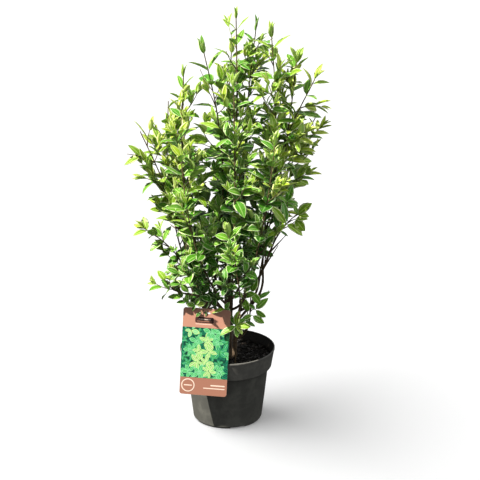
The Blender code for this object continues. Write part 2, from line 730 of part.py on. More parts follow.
def fused_mesh(name, twigs, leaves):
    """One closed mesh of these twigs and leaves, whose roots are sunk in one another."""
    pieces = new_collection(f"{name} pieces")
    leader = new_object(f"{name} leader", twigs[0].copy(), bpy.context.scene.collection)
    for number, mesh in enumerate([*twigs[1:], *leaves]):
        new_object(f"{name} piece {number}", mesh, pieces)
    fuse = leader.modifiers.new("Fuse", "BOOLEAN")
    fuse.operand_type = "COLLECTION"
    fuse.collection = pieces
    fuse.operation = "UNION"
    fuse.solver = "MANIFOLD"
    mesh = evaluated_mesh(leader)
    keep_main_body(mesh)
    for piece in [leader, *pieces.objects]:
        bpy.data.objects.remove(piece)
    bpy.data.collections.remove(pieces)
    return mesh


def faults(mesh):
    """The middles of the edges that don't have two faces once corners that nearly touch are one."""
    work = bmesh.new()
    work.from_mesh(mesh)
    bmesh.ops.remove_doubles(work, verts=work.verts, dist=FUSE_WELD)
    found = [(edge.verts[0].co + edge.verts[1].co) / 2 for edge in work.edges if len(edge.link_faces) != 2]
    work.free()
    return found


def grow_mass(name, lines, own, others, guards, profile, guides):
    """The mesh of one mass: its twigs, fused with the leaves that keep to its space and clear of the wood."""
    twigs = [twig_mesh(line, radii, profile, guides) for line, radii in lines]
    shape = leaf_shape()
    faces = [tuple(face.vertices) for face in shape.polygons]
    grown, leaves = [], []
    for place in leaf_places(name, [line for line, _ in lines]):
        corners = grow_leaf(place, shape, faces, own, others, guards, grown)
        if corners is None:
            continue
        leaf = shape.copy()
        for vertex, corner in zip(leaf.vertices, corners):
            vertex.co = corner
        leaves.append(leaf)
    for _ in range(MOST_FUSINGS):
        mesh = fused_mesh(name, twigs, leaves)
        spots = faults(mesh)
        if not spots:
            break
        for spot in spots:
            nearest = min(range(len(grown)), key=lambda number: grown[number].find_nearest(spot)[3])
            leaves[nearest] = None
        grown = [tree for tree, leaf in zip(grown, leaves) if leaf is not None]
        leaves = [leaf for leaf in leaves if leaf is not None]
    return mesh, len(leaves)


def main():
    """Builds the pot, the compost, the label and the limbs, then grows the masses on the limbs."""
    clear_scene()
    parts = new_collection("golden_privet")
    cutters = new_collection("cutters", hidden=True)
    guides = new_collection("guides", hidden=True)
    plastic = principled("black_plastic", BLACK_PLASTIC)
    compost = principled("compost", COMPOST)
    print_card = principled("printed_card", PRINTED_CARD)
    bark = principled("bark", BARK)
    leaf_green = principled("leaf_green", LEAF_GREEN)

    build_pot(parts, cutters, plastic)
    build_soil(parts, compost)
    frame = card_frame()
    build_card(parts, frame, print_card)
    build_strap(parts, frame, print_card)

    limbs = {name: stem_shape(name) for name in STEMS}
    back, up = STRAP_HOLD
    strap_hold = frame @ Vector((0.0, STRAP_LOOP_RADIUS + back, CARD_HEIGHT / 2 + GAP + STRAP_RISE + up))
    for name in BOUGHS:
        limbs[name] = bough_shape(name, limbs, strap_hold if name == LABEL_BOUGH else None)
    for name, (points, radii) in limbs.items():
        tube(name, points, radii, parts, bark)

    guards = [guard_of(points, radii) for points, radii in limbs.values()]
    for solid in ("pot", "compost", "label_card", "label_strap"):
        mesh = evaluated_mesh(bpy.data.objects[solid])
        world = bpy.data.objects[solid].matrix_world
        corners = [world @ v.co for v in mesh.vertices]
        guards.append(BVHTree.FromPolygons(corners, [tuple(p.vertices) for p in mesh.polygons]))

    profile_curve = bpy.data.curves.new("twig_profile", "CURVE")
    profile_curve.dimensions = "2D"
    spline = profile_curve.splines.new("POLY")
    spline.points.add(2)
    spline.use_cyclic_u = True
    for corner in range(3):
        angle = corner * math.tau / 3
        spline.points[corner].co = (math.cos(angle), math.sin(angle), 0.0, 1.0)
    profile = new_object("twig_profile", profile_curve, guides)
    profile.hide_render = True
    profile.display_type = "WIRE"

    leader_lines = {}
    for name, (limb, tip, _, _) in MASSES.items():
        points, radii = limbs[limb]
        heading = (points[-1] - points[-2]).normalized()
        foot = points[-1] + heading * (GAP * 2)
        line = bent_line(foot, Vector(tip), heading, LEADER_RINGS)
        leader_lines[name] = (line, tapered(radii[-1] * LEADER_RADIUS_SHARE, TWIG_TIP_RADIUS, LEADER_RINGS))
    basal_foot = Vector((*BASAL_FOOT, SOIL_LEVEL + GAP))
    basal_line = bent_line(basal_foot, Vector(BASAL_TIP), Vector((0, 0, 1)), TWIG_RINGS)
    leader_lines[BASAL_SHOOT] = (basal_line, tapered(BASAL_RADIUS, TWIG_TIP_RADIUS, TWIG_RINGS))

    leaders = {name: segments([line]) for name, (line, _) in leader_lines.items()}
    skeletons = {BASAL_SHOOT: [leader_lines[BASAL_SHOOT]]}
    for name, (_, _, count, reach) in MASSES.items():
        leader, radii = leader_lines[name]
        twigs = side_twigs(name, leader, radii[0], count, reach, leaders, guards)
        skeletons[name] = [leader_lines[name], *twigs]
    spaces = {name: segments([line for line, _ in lines]) for name, lines in skeletons.items()}
    leaves = 0
    for name, lines in skeletons.items():
        mesh, count = grow_mass(name, lines, spaces[name], joined(spaces, name), guards, profile, guides)
        new_object(name, mesh, parts, leaf_green)
        leaves += count
    print(f"{leaves} leaves in {len(skeletons)} masses")


main()
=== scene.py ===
"""The looks of a variegated golden privet in a nursery pot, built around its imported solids.

Units are metres, +Z is up, and the origin is the centre of the pot's underside. -Y is the front.
"""

import math
import random

import bpy
import numpy as np
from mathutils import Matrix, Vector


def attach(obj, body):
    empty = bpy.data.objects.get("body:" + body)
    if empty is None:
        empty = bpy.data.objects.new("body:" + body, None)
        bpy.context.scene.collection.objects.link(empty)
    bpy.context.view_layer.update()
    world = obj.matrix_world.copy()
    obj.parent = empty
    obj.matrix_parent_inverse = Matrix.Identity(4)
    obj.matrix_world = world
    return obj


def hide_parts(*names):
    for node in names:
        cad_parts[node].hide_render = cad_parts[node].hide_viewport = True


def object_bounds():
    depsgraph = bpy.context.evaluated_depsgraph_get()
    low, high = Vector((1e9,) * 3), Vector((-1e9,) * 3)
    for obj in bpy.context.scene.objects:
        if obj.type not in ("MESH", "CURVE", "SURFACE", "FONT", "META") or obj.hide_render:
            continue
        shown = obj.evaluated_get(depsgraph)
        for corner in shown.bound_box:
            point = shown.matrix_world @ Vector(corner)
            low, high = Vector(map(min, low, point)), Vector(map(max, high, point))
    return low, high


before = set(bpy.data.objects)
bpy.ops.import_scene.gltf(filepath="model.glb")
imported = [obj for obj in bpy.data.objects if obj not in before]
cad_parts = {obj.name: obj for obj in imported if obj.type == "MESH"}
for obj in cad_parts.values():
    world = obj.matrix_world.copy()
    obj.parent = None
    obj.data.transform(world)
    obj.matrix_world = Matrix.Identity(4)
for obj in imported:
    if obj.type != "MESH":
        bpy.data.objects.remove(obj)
solid_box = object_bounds()

# The pot: a 19 cm nursery container of black polypropylene with a low sheen, thermoformed in one piece.
# Its wall flares to a step, a deep collar and a rolled rim, and shallow notches round the foot let it drain.
POT_HEIGHT = 0.150
RIM_RADIUS = 0.095
COLLAR_FOOT = (0.0885, 0.113)
WALL_TOP = (0.0810, 0.106)
FOOT = (0.0695, 0.004)
POT_WALL = 0.0016
RIM_BEAD = 0.0024
POT_FLOOR = 0.0020
POT_COLUMNS = 224
NOTCHES = 4
NOTCH_HALF_WIDTH = 0.015
NOTCH_HEIGHT = 0.004
NOTCH_FIRST = math.radians(-72)


def linear(code):
    """A colour written as sRGB hex, turned to the linear values that a shader takes."""
    channels = [int(code[i : i + 2], 16) / 255 for i in (1, 3, 5)]
    return tuple(c / 12.92 if c <= 0.04045 else ((c + 0.055) / 1.055) ** 2.4 for c in channels) + (1.0,)


def node(tree, kind, settings=None, links=None):
    """Adds a node with its settings, by property or socket name, and its inputs' links, by socket name."""
    made = tree.nodes.new(kind)
    for key, value in (settings or {}).items():
        if key in made.inputs:
            made.inputs[key].default_value = value
        else:
            setattr(made, key, value)
    for key, source in (links or {}).items():
        tree.links.new(source, made.inputs[key])
    return made


def finish_of(name, colour, **sockets):
    """A Principled material of this colour, with further sockets set by name, as (material, tree, shader)."""
    made = bpy.data.materials.new(name)
    made.use_nodes = True
    tree = made.node_tree
    shader = tree.nodes["Principled BSDF"]
    shader.inputs["Base Color"].default_value = linear(colour)
    for key, value in sockets.items():
        shader.inputs[key.replace("_", " ")].default_value = value
    return made, tree, shader


def bumped(tree, shader, height, strength, distance):
    """Puts relief of this height, in metres at full strength, on a shader."""
    bump = node(tree, "ShaderNodeBump", {"Strength": strength, "Distance": distance}, {"Height": height})
    tree.links.new(bump.outputs["Normal"], shader.inputs["Normal"])


def mixed_colours(tree, shader, factor, low, high, start=0.35, end=0.65):
    """Colours a shader between two tones by a factor, from start to end of its range."""
    ramp = node(tree, "ShaderNodeValToRGB", None, {"Fac": factor})
    ramp.color_ramp.elements[0].position = start
    ramp.color_ramp.elements[1].position = end
    ramp.color_ramp.elements[0].color = linear(low)
    ramp.color_ramp.elements[1].color = linear(high)
    tree.links.new(ramp.outputs["Color"], shader.inputs["Base Color"])


def grid_quads(rows, columns, around=True):
    """The faces of a grid of points, row by row, closed round its columns where around is set."""
    row, column = np.meshgrid(np.arange(rows - 1), np.arange(columns if around else columns - 1), indexing="ij")
    a = row * columns + column
    b = row * columns + (column + 1) % columns
    return np.stack([a, b, b + columns, a + columns], axis=-1).reshape(-1, 4)


def piece(name, points, faces, materials, replaced=(), slots=None, uv=None, smooth=True):
    """One finished object from points and faces (an array, or a tuple of them), which rides on the body."""
    mesh = bpy.data.meshes.new(name)
    groups = faces if isinstance(faces, tuple) else (faces,)
    corners = [corner for group in groups for corner in np.asarray(group).tolist()]
    mesh.from_pydata(np.asarray(points, float).reshape(-1, 3).tolist(), [], corners)
    for material in materials:
        mesh.materials.append(material)
    if slots is not None:
        mesh.polygons.foreach_set("material_index", np.asarray(slots, np.int32))
    if uv is not None:
        corners = np.empty(len(mesh.loops), np.int32)
        mesh.loops.foreach_get("vertex_index", corners)
        mesh.uv_layers.new(name="surface").data.foreach_set("uv", np.asarray(uv, np.float32)[corners].ravel())
    mesh.polygons.foreach_set("use_smooth", np.full(len(mesh.polygons), smooth))
    mesh.validate()
    mesh.update()
    made = bpy.data.objects.new(name, mesh)
    bpy.context.scene.collection.objects.link(made)
    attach(made, "root")
    if replaced:
        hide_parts(*replaced)
    return made


def turned(profile, columns):
    """Points of a profile of radius and height turned round the Z axis, row by row."""
    angle = np.arange(columns) * math.tau / columns
    radius, height = np.asarray(profile).T
    return np.stack(
        [radius[:, None] * np.cos(angle), radius[:, None] * np.sin(angle), np.repeat(height[:, None], columns, 1)],
        axis=-1,
    )


def softened(corners, steps=4, reach=0.0012):
    """A profile with each inner corner replaced by a short curve that starts and ends this far from it."""
    corners = np.asarray(corners, float)
    out = [corners[0]]
    for before, corner, after in zip(corners, corners[1:], corners[2:]):
        start = corner + (before - corner) * min(0.45, reach / np.linalg.norm(before - corner))
        end = corner + (after - corner) * min(0.45, reach / np.linalg.norm(after - corner))
        for t in np.linspace(0, 1, steps):
            out.append(start * (1 - t) ** 2 + corner * 2 * t * (1 - t) + end * t**2)
    return np.array(out + [corners[-1]])


INNER_WALL_TOP = WALL_TOP[0] - POT_WALL
pot_profile = softened(
    [
        (0.0004, POT_FLOOR),
        (0.0690 - POT_WALL, POT_FLOOR),
        (INNER_WALL_TOP, WALL_TOP[1]),
        (COLLAR_FOOT[0] - POT_WALL, COLLAR_FOOT[1]),
        (RIM_RADIUS - RIM_BEAD, POT_HEIGHT - 2 * RIM_BEAD),
        (RIM_RADIUS - RIM_BEAD, POT_HEIGHT),
        (RIM_RADIUS, POT_HEIGHT),
        (RIM_RADIUS, POT_HEIGHT - 1.6 * RIM_BEAD),
        (RIM_RADIUS - 0.0009, POT_HEIGHT - 2 * RIM_BEAD),
        (COLLAR_FOOT[0] + 0.0004, COLLAR_FOOT[1] + 0.002),
        (COLLAR_FOOT[0], COLLAR_FOOT[1] - 0.001),
        (WALL_TOP[0], WALL_TOP[1]),
        (0.0697, 0.0075),
        FOOT,
        (FOOT[0] - 0.0024, 0.0),
        (0.060, 0.0),
        (0.0575, 0.0012),
        (0.0004, 0.0012),
    ]
)
# The inner wall and the outer wall get rows between their ends, so that the notches and dents have points to move.
pot_rows = [pot_profile[0]]
for before, after in zip(pot_profile, pot_profile[1:]):
    steps = max(1, int(np.linalg.norm(after - before) / 0.006))
    pot_rows += [before + (after - before) * (i + 1) / steps for i in range(steps)]
pot_points = turned(pot_rows, POT_COLUMNS)
# A notch lifts the foot's outer edge: full height inside its width, falling away over 2 mm at its sides and inwards.
angle = np.arange(POT_COLUMNS) * math.tau / POT_COLUMNS
pitch = math.tau / NOTCHES
aside = np.abs((angle - NOTCH_FIRST + pitch / 2) % pitch - pitch / 2) * FOOT[0]
inside = np.clip((NOTCH_HALF_WIDTH + 0.001 - aside) / 0.002, 0, 1)
radius = np.linalg.norm(pot_points[..., :2], axis=-1)
near_foot = np.clip((radius - 0.0615) / 0.002, 0, 1) * (pot_points[..., 2] < NOTCH_HEIGHT)
outer = np.arange(len(pot_rows))[:, None] > len(pot_rows) // 2
lift = inside * near_foot * outer
pot_points[..., 2] += lift * np.maximum(0, NOTCH_HEIGHT - pot_points[..., 2])
# The thin wall is never quite round: it leans in and out by half a millimetre between floor and collar.
sway = 0.0005 * np.sin(2 * angle + 0.6) + 0.00025 * np.sin(5 * angle + 2.1)
middle = np.sin(np.clip(pot_points[..., 2] / WALL_TOP[1], 0, 1) * math.pi)
pot_points[..., :2] *= (1 + sway * middle / 0.075)[..., None]

polypropylene, tree, shader = finish_of("moulded_black_polypropylene", "#282927", Roughness=0.42, IOR=1.49)
place = node(tree, "ShaderNodeTexCoord").outputs["Object"]
# Dust and water marks: patches 15 to 40 mm across, a little paler than the plastic.
dust_and_sheen = node(tree, "ShaderNodeTexNoise", {"Scale": 42.0, "Detail": 6.0, "Roughness": 0.62}, {"Vector": place})
mixed_colours(tree, shader, dust_and_sheen.outputs["Fac"], "#5d5e5a", "#777872", 0.42, 0.74)
# Handling leaves patches of shine 10 mm across.
shine = node(tree, "ShaderNodeTexNoise", {"Scale": 90.0, "Detail": 3.0}, {"Vector": place})
rough = node(tree, "ShaderNodeMapRange", {"To Min": 0.34, "To Max": 0.52}, {"Value": shine.outputs["Fac"]})
tree.links.new(rough.outputs["Result"], shader.inputs["Roughness"])
# The mould's fine orange peel is 0.6 mm in the real pot and is drawn at 1.2 mm.
peel = node(tree, "ShaderNodeTexNoise", {"Scale": 820.0, "Detail": 2.0}, {"Vector": place})
bumped(tree, shader, peel.outputs["Fac"], 0.25, 0.0004)
# Inside, the wall is darker and browner than outside, in patches.
dark_inner_finish, tree, shader = finish_of("dark_inner_polypropylene", "#15110d", Roughness=0.62, IOR=1.49)
place = node(tree, "ShaderNodeTexCoord").outputs["Object"]
inner_mottle = node(tree, "ShaderNodeTexNoise", {"Scale": 130.0, "Detail": 7.0, "Roughness": 0.66}, {"Vector": place})
mixed_colours(tree, shader, inner_mottle.outputs["Fac"], "#090705", "#2b241d", 0.44, 0.72)
bumped(tree, shader, inner_mottle.outputs["Fac"], 0.4, 0.0006)
# Outside, the collar is paler: dust lies thickest there, and its paler tone is also a painted sheen of sky light.
collar_sheen_and_dust, tree, shader = finish_of("sheen_and_dust_black_polypropylene", "#3c3d3a", Roughness=0.46, IOR=1.49)
place = node(tree, "ShaderNodeTexCoord").outputs["Object"]
dust_and_sheen = node(tree, "ShaderNodeTexNoise", {"Scale": 42.0, "Detail": 6.0, "Roughness": 0.62}, {"Vector": place})
mixed_colours(tree, shader, dust_and_sheen.outputs["Fac"], "#70706c", "#8d8d87", 0.42, 0.74)
bumped(tree, shader, dust_and_sheen.outputs["Fac"], 0.1, 0.0004)
row_heights = np.array(pot_rows)[:-1, 1]
crest = int(np.argmax(row_heights))
row_slots = np.where(np.arange(len(row_heights)) < crest - 1, 1, 0)
row_slots[crest + 1 :][row_heights[crest + 1 :] > COLLAR_FOOT[1] - 0.0012] = 2
pot_quads = np.vstack(
    [grid_quads(len(pot_rows), POT_COLUMNS)[:, ::-1]]
    + [
        np.stack([b + i, b + i + 1, b + POT_COLUMNS - 2 - i, b + POT_COLUMNS - 1 - i])[None, ::turn]
        for b, turn in ((0, 1), ((len(pot_rows) - 1) * POT_COLUMNS, -1))
        for i in range(POT_COLUMNS // 2 - 1)
    ]
)
pot_slots = np.concatenate([np.repeat(row_slots, POT_COLUMNS), np.ones(POT_COLUMNS // 2 - 1), np.zeros(POT_COLUMNS // 2 - 1)])
piece(
    "nursery_pot", pot_points, pot_quads, [polypropylene, dark_inner_finish, collar_sheen_and_dust], ["pot"], slots=pot_slots
)

# The compost: damp composted bark, nearly black and darker still as painted shade from the crown, with chips of bark up
# to 12 mm long.
# It was filled in loose, so it lies lower at the wall and is level round the stems.
SEED = 11
SOIL_LEVEL = 0.131
SOIL_RADIUS = 0.0897
SOIL_ROWS = 46
SOIL_COLUMNS = 160
BARK_CHIPS = 620
FIBRES = 90


def waves(x, y, size, seed, count=14):
    """Smooth random relief from -1 to 1: the mean of plane sine waves about this size, each in its own direction."""
    draw = np.random.default_rng(seed)
    turn = draw.uniform(0, math.tau, count)
    pace = math.tau / (size * draw.uniform(0.7, 1.5, count))
    shift = draw.uniform(0, math.tau, count)
    across = x[..., None] * np.cos(turn) + y[..., None] * np.sin(turn)
    return np.sin(across * pace + shift).sum(axis=-1) / math.sqrt(count)


share = np.linspace(0, 1, SOIL_ROWS)[1:]
angle = np.arange(SOIL_COLUMNS) * math.tau / SOIL_COLUMNS
top_x = share[:, None] * SOIL_RADIUS * np.cos(angle)
top_y = share[:, None] * SOIL_RADIUS * np.sin(angle)
lump = 0.0010 * waves(top_x, top_y, 0.022, 3) + 0.0006 * waves(top_x, top_y, 0.008, 4)
away = np.clip((share[:, None] - 0.25) / 0.4, 0.15, 1)
top_z = SOIL_LEVEL - 0.0006 + lump * away - 0.0022 * share[:, None] ** 6
side = turned([(COLLAR_FOOT[0] - POT_WALL - 0.0006, COLLAR_FOOT[1]), (0.0788, 0.106), (0.0672, 0.0026)], SOIL_COLUMNS)
soil_points = np.concatenate([np.stack([top_x, top_y, top_z], axis=-1), side])
rows = len(soil_points)
soil_points = np.vstack([soil_points.reshape(-1, 3), [[0, 0, SOIL_LEVEL - 0.0006], [0, 0, 0.0026]]])
middle, bottom = rows * SOIL_COLUMNS, rows * SOIL_COLUMNS + 1
first = np.arange(SOIL_COLUMNS)
following = (first + 1) % SOIL_COLUMNS
last = (rows - 1) * SOIL_COLUMNS
soil_faces = grid_quads(rows, SOIL_COLUMNS)[:, ::-1].tolist()
soil_faces += np.stack([np.full(SOIL_COLUMNS, middle), first, following], axis=-1).tolist()
soil_faces += np.stack([np.full(SOIL_COLUMNS, bottom), last + following, last + first], axis=-1).tolist()
# The compost's colours are darker than damp bark's own, as painted shade from the crown.
peat, tree, shader = finish_of("damp_bark_compost_and_painted_shade", "#1d140f", Roughness=0.86, Specular_IOR_Level=0.2)
place = node(tree, "ShaderNodeTexCoord").outputs["Object"]
crumbs = node(tree, "ShaderNodeTexNoise", {"Scale": 420.0, "Detail": 8.0, "Roughness": 0.7}, {"Vector": place})
mixed_colours(tree, shader, crumbs.outputs["Fac"], "#040302", "#171009", 0.40, 0.74)
bumped(tree, shader, crumbs.outputs["Fac"], 0.9, 0.0016)
soil = bpy.data.meshes.new("compost_bed")
soil.from_pydata(soil_points.tolist(), [], soil_faces)
soil.polygons.foreach_set("use_smooth", np.ones(len(soil.polygons), bool))
soil.materials.append(peat)
bed = bpy.data.objects.new("compost_bed", soil)
bpy.context.scene.collection.objects.link(bed)
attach(bed, "root")
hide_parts("compost")

# Chips: six-sided slabs, long, narrow and flat, laid at random on the bed. Each is a squashed ball of three rings.
draw = np.random.default_rng(21)
ring = np.arange(6) * math.tau / 6
ball = np.stack(
    [
        np.outer([0.55, 1.0, 0.6], np.cos(ring)),
        np.outer([0.55, 1.0, 0.6], np.sin(ring)),
        np.repeat([[-1.0], [0.0], [1.0]], 6, axis=1),
    ],
    axis=-1,
).reshape(-1, 3)
CAP = np.array([[0, 1, 4, 5], [1, 2, 3, 4]])


def turns(about_z, about_x, about_y):
    """Rotation matrices: about Y, then X, then Z, for arrays of angles."""
    c, s, zero, one = np.cos, np.sin, np.zeros_like(about_z), np.ones_like(about_z)
    z = np.stack([c(about_z), -s(about_z), zero, s(about_z), c(about_z), zero, zero, zero, one], -1).reshape(-1, 3, 3)
    x = np.stack([one, zero, zero, zero, c(about_x), -s(about_x), zero, s(about_x), c(about_x)], -1).reshape(-1, 3, 3)
    y = np.stack([c(about_y), zero, s(about_y), zero, one, zero, -s(about_y), zero, c(about_y)], -1).reshape(-1, 3, 3)
    return z @ x @ y


def scattered(count, longest, shortest, ratio, thick, seed):
    """Chips as arrays of points: each ball stretched to a length, width and thickness, turned, and set on the bed."""
    draw = np.random.default_rng(seed)
    length = shortest + (longest - shortest) * draw.random(count) ** 2.2
    sizes = np.stack([length / 2, length / 2 * draw.uniform(*ratio, count), draw.uniform(*thick, count) / 2], -1)
    chips = ball[None] * (1 + draw.normal(0, 0.12, (count, 18, 3))) * sizes[:, None]
    turn = turns(draw.uniform(0, math.tau, count), draw.normal(0, 0.32, count), draw.normal(0, 0.3, count))
    chips = np.einsum("nij,nkj->nki", turn, chips)
    out = (0.004 + 0.080 * np.sqrt(draw.random(count)))[:, None]
    where = draw.uniform(0, math.tau, count)[:, None]
    x, y = out[:, 0] * np.cos(where[:, 0]), out[:, 0] * np.sin(where[:, 0])
    z = SOIL_LEVEL - 0.0004 + 0.0008 * waves(x, y, 0.022, 3) + draw.uniform(-0.0004, 0.0014, count)
    return chips + np.stack([x, y, z - 0.0022 * (out[:, 0] / SOIL_RADIUS) ** 6], -1)[:, None]


chip_quads = np.vstack([grid_quads(3, 6), CAP[:, ::-1], CAP + 12])
chips = scattered(BARK_CHIPS, 0.013, 0.0025, (0.3, 0.75), (0.0008, 0.0028), 5)
faces = (chip_quads[None] + 18 * np.arange(BARK_CHIPS)[:, None, None]).reshape(-1, 4)
chip_materials = []
# The chips' tones are darkened too, as painted shade from the crown.
for label, tone in (("dark_bark_chip", "#0d0907"), ("brown_bark_chip", "#1f1510"), ("weathered_bark_chip", "#40342b")):
    chip, tree, shader = finish_of(label, tone, Roughness=0.5)
    place = node(tree, "ShaderNodeTexCoord").outputs["Object"]
    grain = node(tree, "ShaderNodeTexNoise", {"Scale": 900.0, "Detail": 4.0}, {"Vector": place})
    bumped(tree, shader, grain.outputs["Fac"], 0.7, 0.0006)
    chip_materials.append(chip)
dealt = np.repeat(draw.choice(3, BARK_CHIPS, p=[0.62, 0.3, 0.08]), len(chip_quads))
piece("bark_chips", chips, faces, chip_materials, slots=dealt, smooth=False)

# The stems: five canes of older wood from one root, grey-brown and finely ridged, thicker where they leave the soil.
# They are drawn on the same lines as the solids, with the swollen joints where leaf pairs once stood.
GAP = 0.0003
LIMB_RINGS = 5
ROOT_FLARE = 1.55
FLARE_HEIGHT = 0.012
FLARE_BEND_HEIGHT = 0.4
FLARE_BEND_RADIUS = 1.18
LIMB_WANDER = 0.0016
BOUGH_WANDER = 0.0008
STEMS = {
    "stem_centre": ((0.002, 0.001), (0.008, 0.004, 0.335), 0.0048, 0.0030),
    "stem_left": ((-0.014, -0.002), (-0.040, -0.012, 0.288), 0.0042, 0.0026),
    "stem_right": ((0.014, -0.003), (0.046, 0.004, 0.292), 0.0042, 0.0026),
    "stem_back": ((-0.001, 0.016), (-0.004, 0.044, 0.285), 0.0040, 0.0025),
    "stem_front": ((0.006, -0.017), (0.010, -0.044, 0.282), 0.0038, 0.0025),
}
JOINT_SPACING = 0.026
STEM_SIDES = 20


def unit(vector):
    """The direction of a vector, or of each in an array."""
    return vector / np.linalg.norm(vector, axis=-1, keepdims=True)


def curved_line(foot, handle, tip, count):
    """Points on the quadratic curve from foot to tip that is pulled towards handle."""
    t = np.linspace(0, 1, count)[:, None]
    return foot * (1 - t) ** 2 + handle * 2 * t * (1 - t) + tip * t**2


def bent_line(foot, tip, leave, count):
    """Points on a curve from foot to tip that sets out along leave and turns evenly to its tip."""
    return curved_line(foot, foot + unit(leave) * np.linalg.norm(tip - foot) * 0.5, tip, count)


def wandering(points, rng, amount):
    """The same points, with all but the two ends moved a little aside."""
    moved = points.copy()
    for place in range(1, len(points) - 1):
        moved[place] += np.array([rng.uniform(-1, 1), rng.uniform(-1, 1), 0]) * amount
    return moved


def along(points, share):
    """The point at that share of a line's length, and the line's direction there."""
    steps = points[1:] - points[:-1]
    lengths = np.linalg.norm(steps, axis=1)
    ends = np.cumsum(lengths)
    place = min(int(np.searchsorted(ends, share * ends[-1])), len(lengths) - 1)
    left = share * ends[-1] - (ends[place] - lengths[place])
    return points[place] + steps[place] * (left / lengths[place]), steps[place] / lengths[place]


def smooth_line(points, count):
    """A line through the points with no corners, at even steps of their numbering (Catmull and Rom's spline)."""
    points = np.asarray(points)
    padded = np.vstack([2 * points[0] - points[1], points, 2 * points[-1] - points[-2]])
    t = np.linspace(0, len(points) - 1, count)
    i = np.minimum(t.astype(int), len(points) - 2)
    u = (t - i)[:, None]
    a, b, c, d = padded[i], padded[i + 1], padded[i + 2], padded[i + 3]
    return 0.5 * (2 * b + (c - a) * u + (2 * a - 5 * b + 4 * c - d) * u**2 + (3 * b - a - 3 * c + d) * u**3)


def stem_shape(name):
    """Points and radii of one stem: a flat foot with a root flare, then an even taper to its tip."""
    foot, tip, radius, tip_radius = STEMS[name]
    rng = random.Random(f"{SEED} {name}")
    ground = np.array([*foot, SOIL_LEVEL + GAP])
    up = np.array([0, 0, 1.0])
    line = bent_line(ground + up * FLARE_HEIGHT, np.array(tip), up, LIMB_RINGS)
    line = wandering(line, rng, LIMB_WANDER)
    points = np.vstack([ground, ground + up * FLARE_BEND_HEIGHT * FLARE_HEIGHT, line])
    return points, np.array([radius * ROOT_FLARE, radius * FLARE_BEND_RADIUS, *np.linspace(radius, tip_radius, LIMB_RINGS)])


def tubes(lines, radii, sides, relief=None):
    """Closed tubes round lines, all with as many points: each ring turns round its line's direction at its radius.

    Relief is a function of the distance along, the angle and the tube's number, and gives the radius's share there.
    """
    lines, radii = np.asarray(lines), np.asarray(radii)
    ahead = unit(np.gradient(lines, axis=1))
    aside = unit(np.cross(ahead, np.array([0.31, 0.87, 0.38])))
    third = np.cross(ahead, aside)
    angle = np.arange(sides) * math.tau / sides
    share = np.ones(radii.shape + (sides,))
    if relief is not None:
        steps = np.linalg.norm(np.diff(lines, axis=1), axis=-1)
        distance = np.concatenate([np.zeros((len(lines), 1)), np.cumsum(steps, axis=1)], axis=1)
        share = relief(distance[..., None], angle, np.arange(len(lines))[:, None, None])
    reach = (radii[..., None] * share)[..., None]
    turn = np.cos(angle)[:, None] * aside[:, :, None] + np.sin(angle)[:, None] * third[:, :, None]
    points = lines[:, :, None] + reach * turn
    count, rings = radii.shape
    ladder = np.array([[i, i + 1, sides - 2 - i, sides - 1 - i] for i in range(sides // 2 - 1)])
    one = np.vstack([grid_quads(rings, sides), ladder[:, ::-1], ladder + (rings - 1) * sides])
    return points, (one[None] + rings * sides * np.arange(count)[:, None, None]).reshape(-1, 4)


def bark_relief(distance, angle, number):
    """Shallow ridges that wind up the wood, and a swollen joint at each spacing."""
    ridges = 0.045 * np.sin(5 * angle + 60 * distance + number) + 0.03 * np.sin(9 * angle - 110 * distance + 2 * number)
    beat = np.cos(math.pi * distance / JOINT_SPACING + number)
    return 1 + ridges + 0.13 * beat**16


limbs = {name: stem_shape(name) for name in STEMS}
STEM_POINTS = 90
stem_lines = [smooth_line(points, STEM_POINTS) for points, _ in limbs.values()]
stem_radii = [np.interp(np.linspace(0, len(r) - 1, STEM_POINTS), np.arange(len(r)), r) for _, r in limbs.values()]
for line in stem_lines:
    line[0, 2] -= 0.003

old_bark, tree, shader = finish_of("grey_brown_bark", "#6b5945", Roughness=0.78)
place = node(tree, "ShaderNodeTexCoord").outputs["Object"]
# Fibres run up the wood: the pattern is drawn out eight times along Z. Patches of lichen grey lie over it.
grain = node(tree, "ShaderNodeMapping", {"Scale": (1.0, 1.0, 0.13)}, {"Vector": place})
fibre = node(tree, "ShaderNodeTexNoise", {"Scale": 620.0, "Detail": 6.0, "Roughness": 0.65}, {"Vector": grain.outputs["Vector"]})
mixed_colours(tree, shader, fibre.outputs["Fac"], "#3c2c1e", "#8b7860", 0.34, 0.7)
bumped(tree, shader, fibre.outputs["Fac"], 0.8, 0.0008)
points, faces = tubes(stem_lines, stem_radii, STEM_SIDES, bark_relief)
piece("stems", points, faces, [old_bark], list(STEMS))

# The label: a card of white plastic, 0.8 mm thick, printed on its face and hung by a strap of the same plastic.
# It leans on the rim and turns a little to its left. The print is a plain ground of terracotta with a leafy picture.
CARD_WIDTH, CARD_HEIGHT, CARD_THICKNESS = 0.092, 0.172, 0.0008
CARD_CORNER = 0.005
CARD_CENTRE_X, CARD_CENTRE_Z = -0.0425, 0.173
CARD_YAW, CARD_LEAN, CARD_ROLL = math.radians(5), math.radians(9), math.radians(2.4)
CARD_RIM_GAP = 0.0005
SLOT_WIDTH, SLOT_HEIGHT, SLOT_BELOW_TOP = 0.013, 0.003, 0.009


def spin(axis, angle):
    """The matrix that turns about one axis, 0 for X, 1 for Y and 2 for Z."""
    c, s = math.cos(angle), math.sin(angle)
    made = np.eye(3)
    first, second = [(1, 2), (2, 0), (0, 1)][axis]
    made[first, first] = made[second, second] = c
    made[second, first], made[first, second] = s, -s
    return made


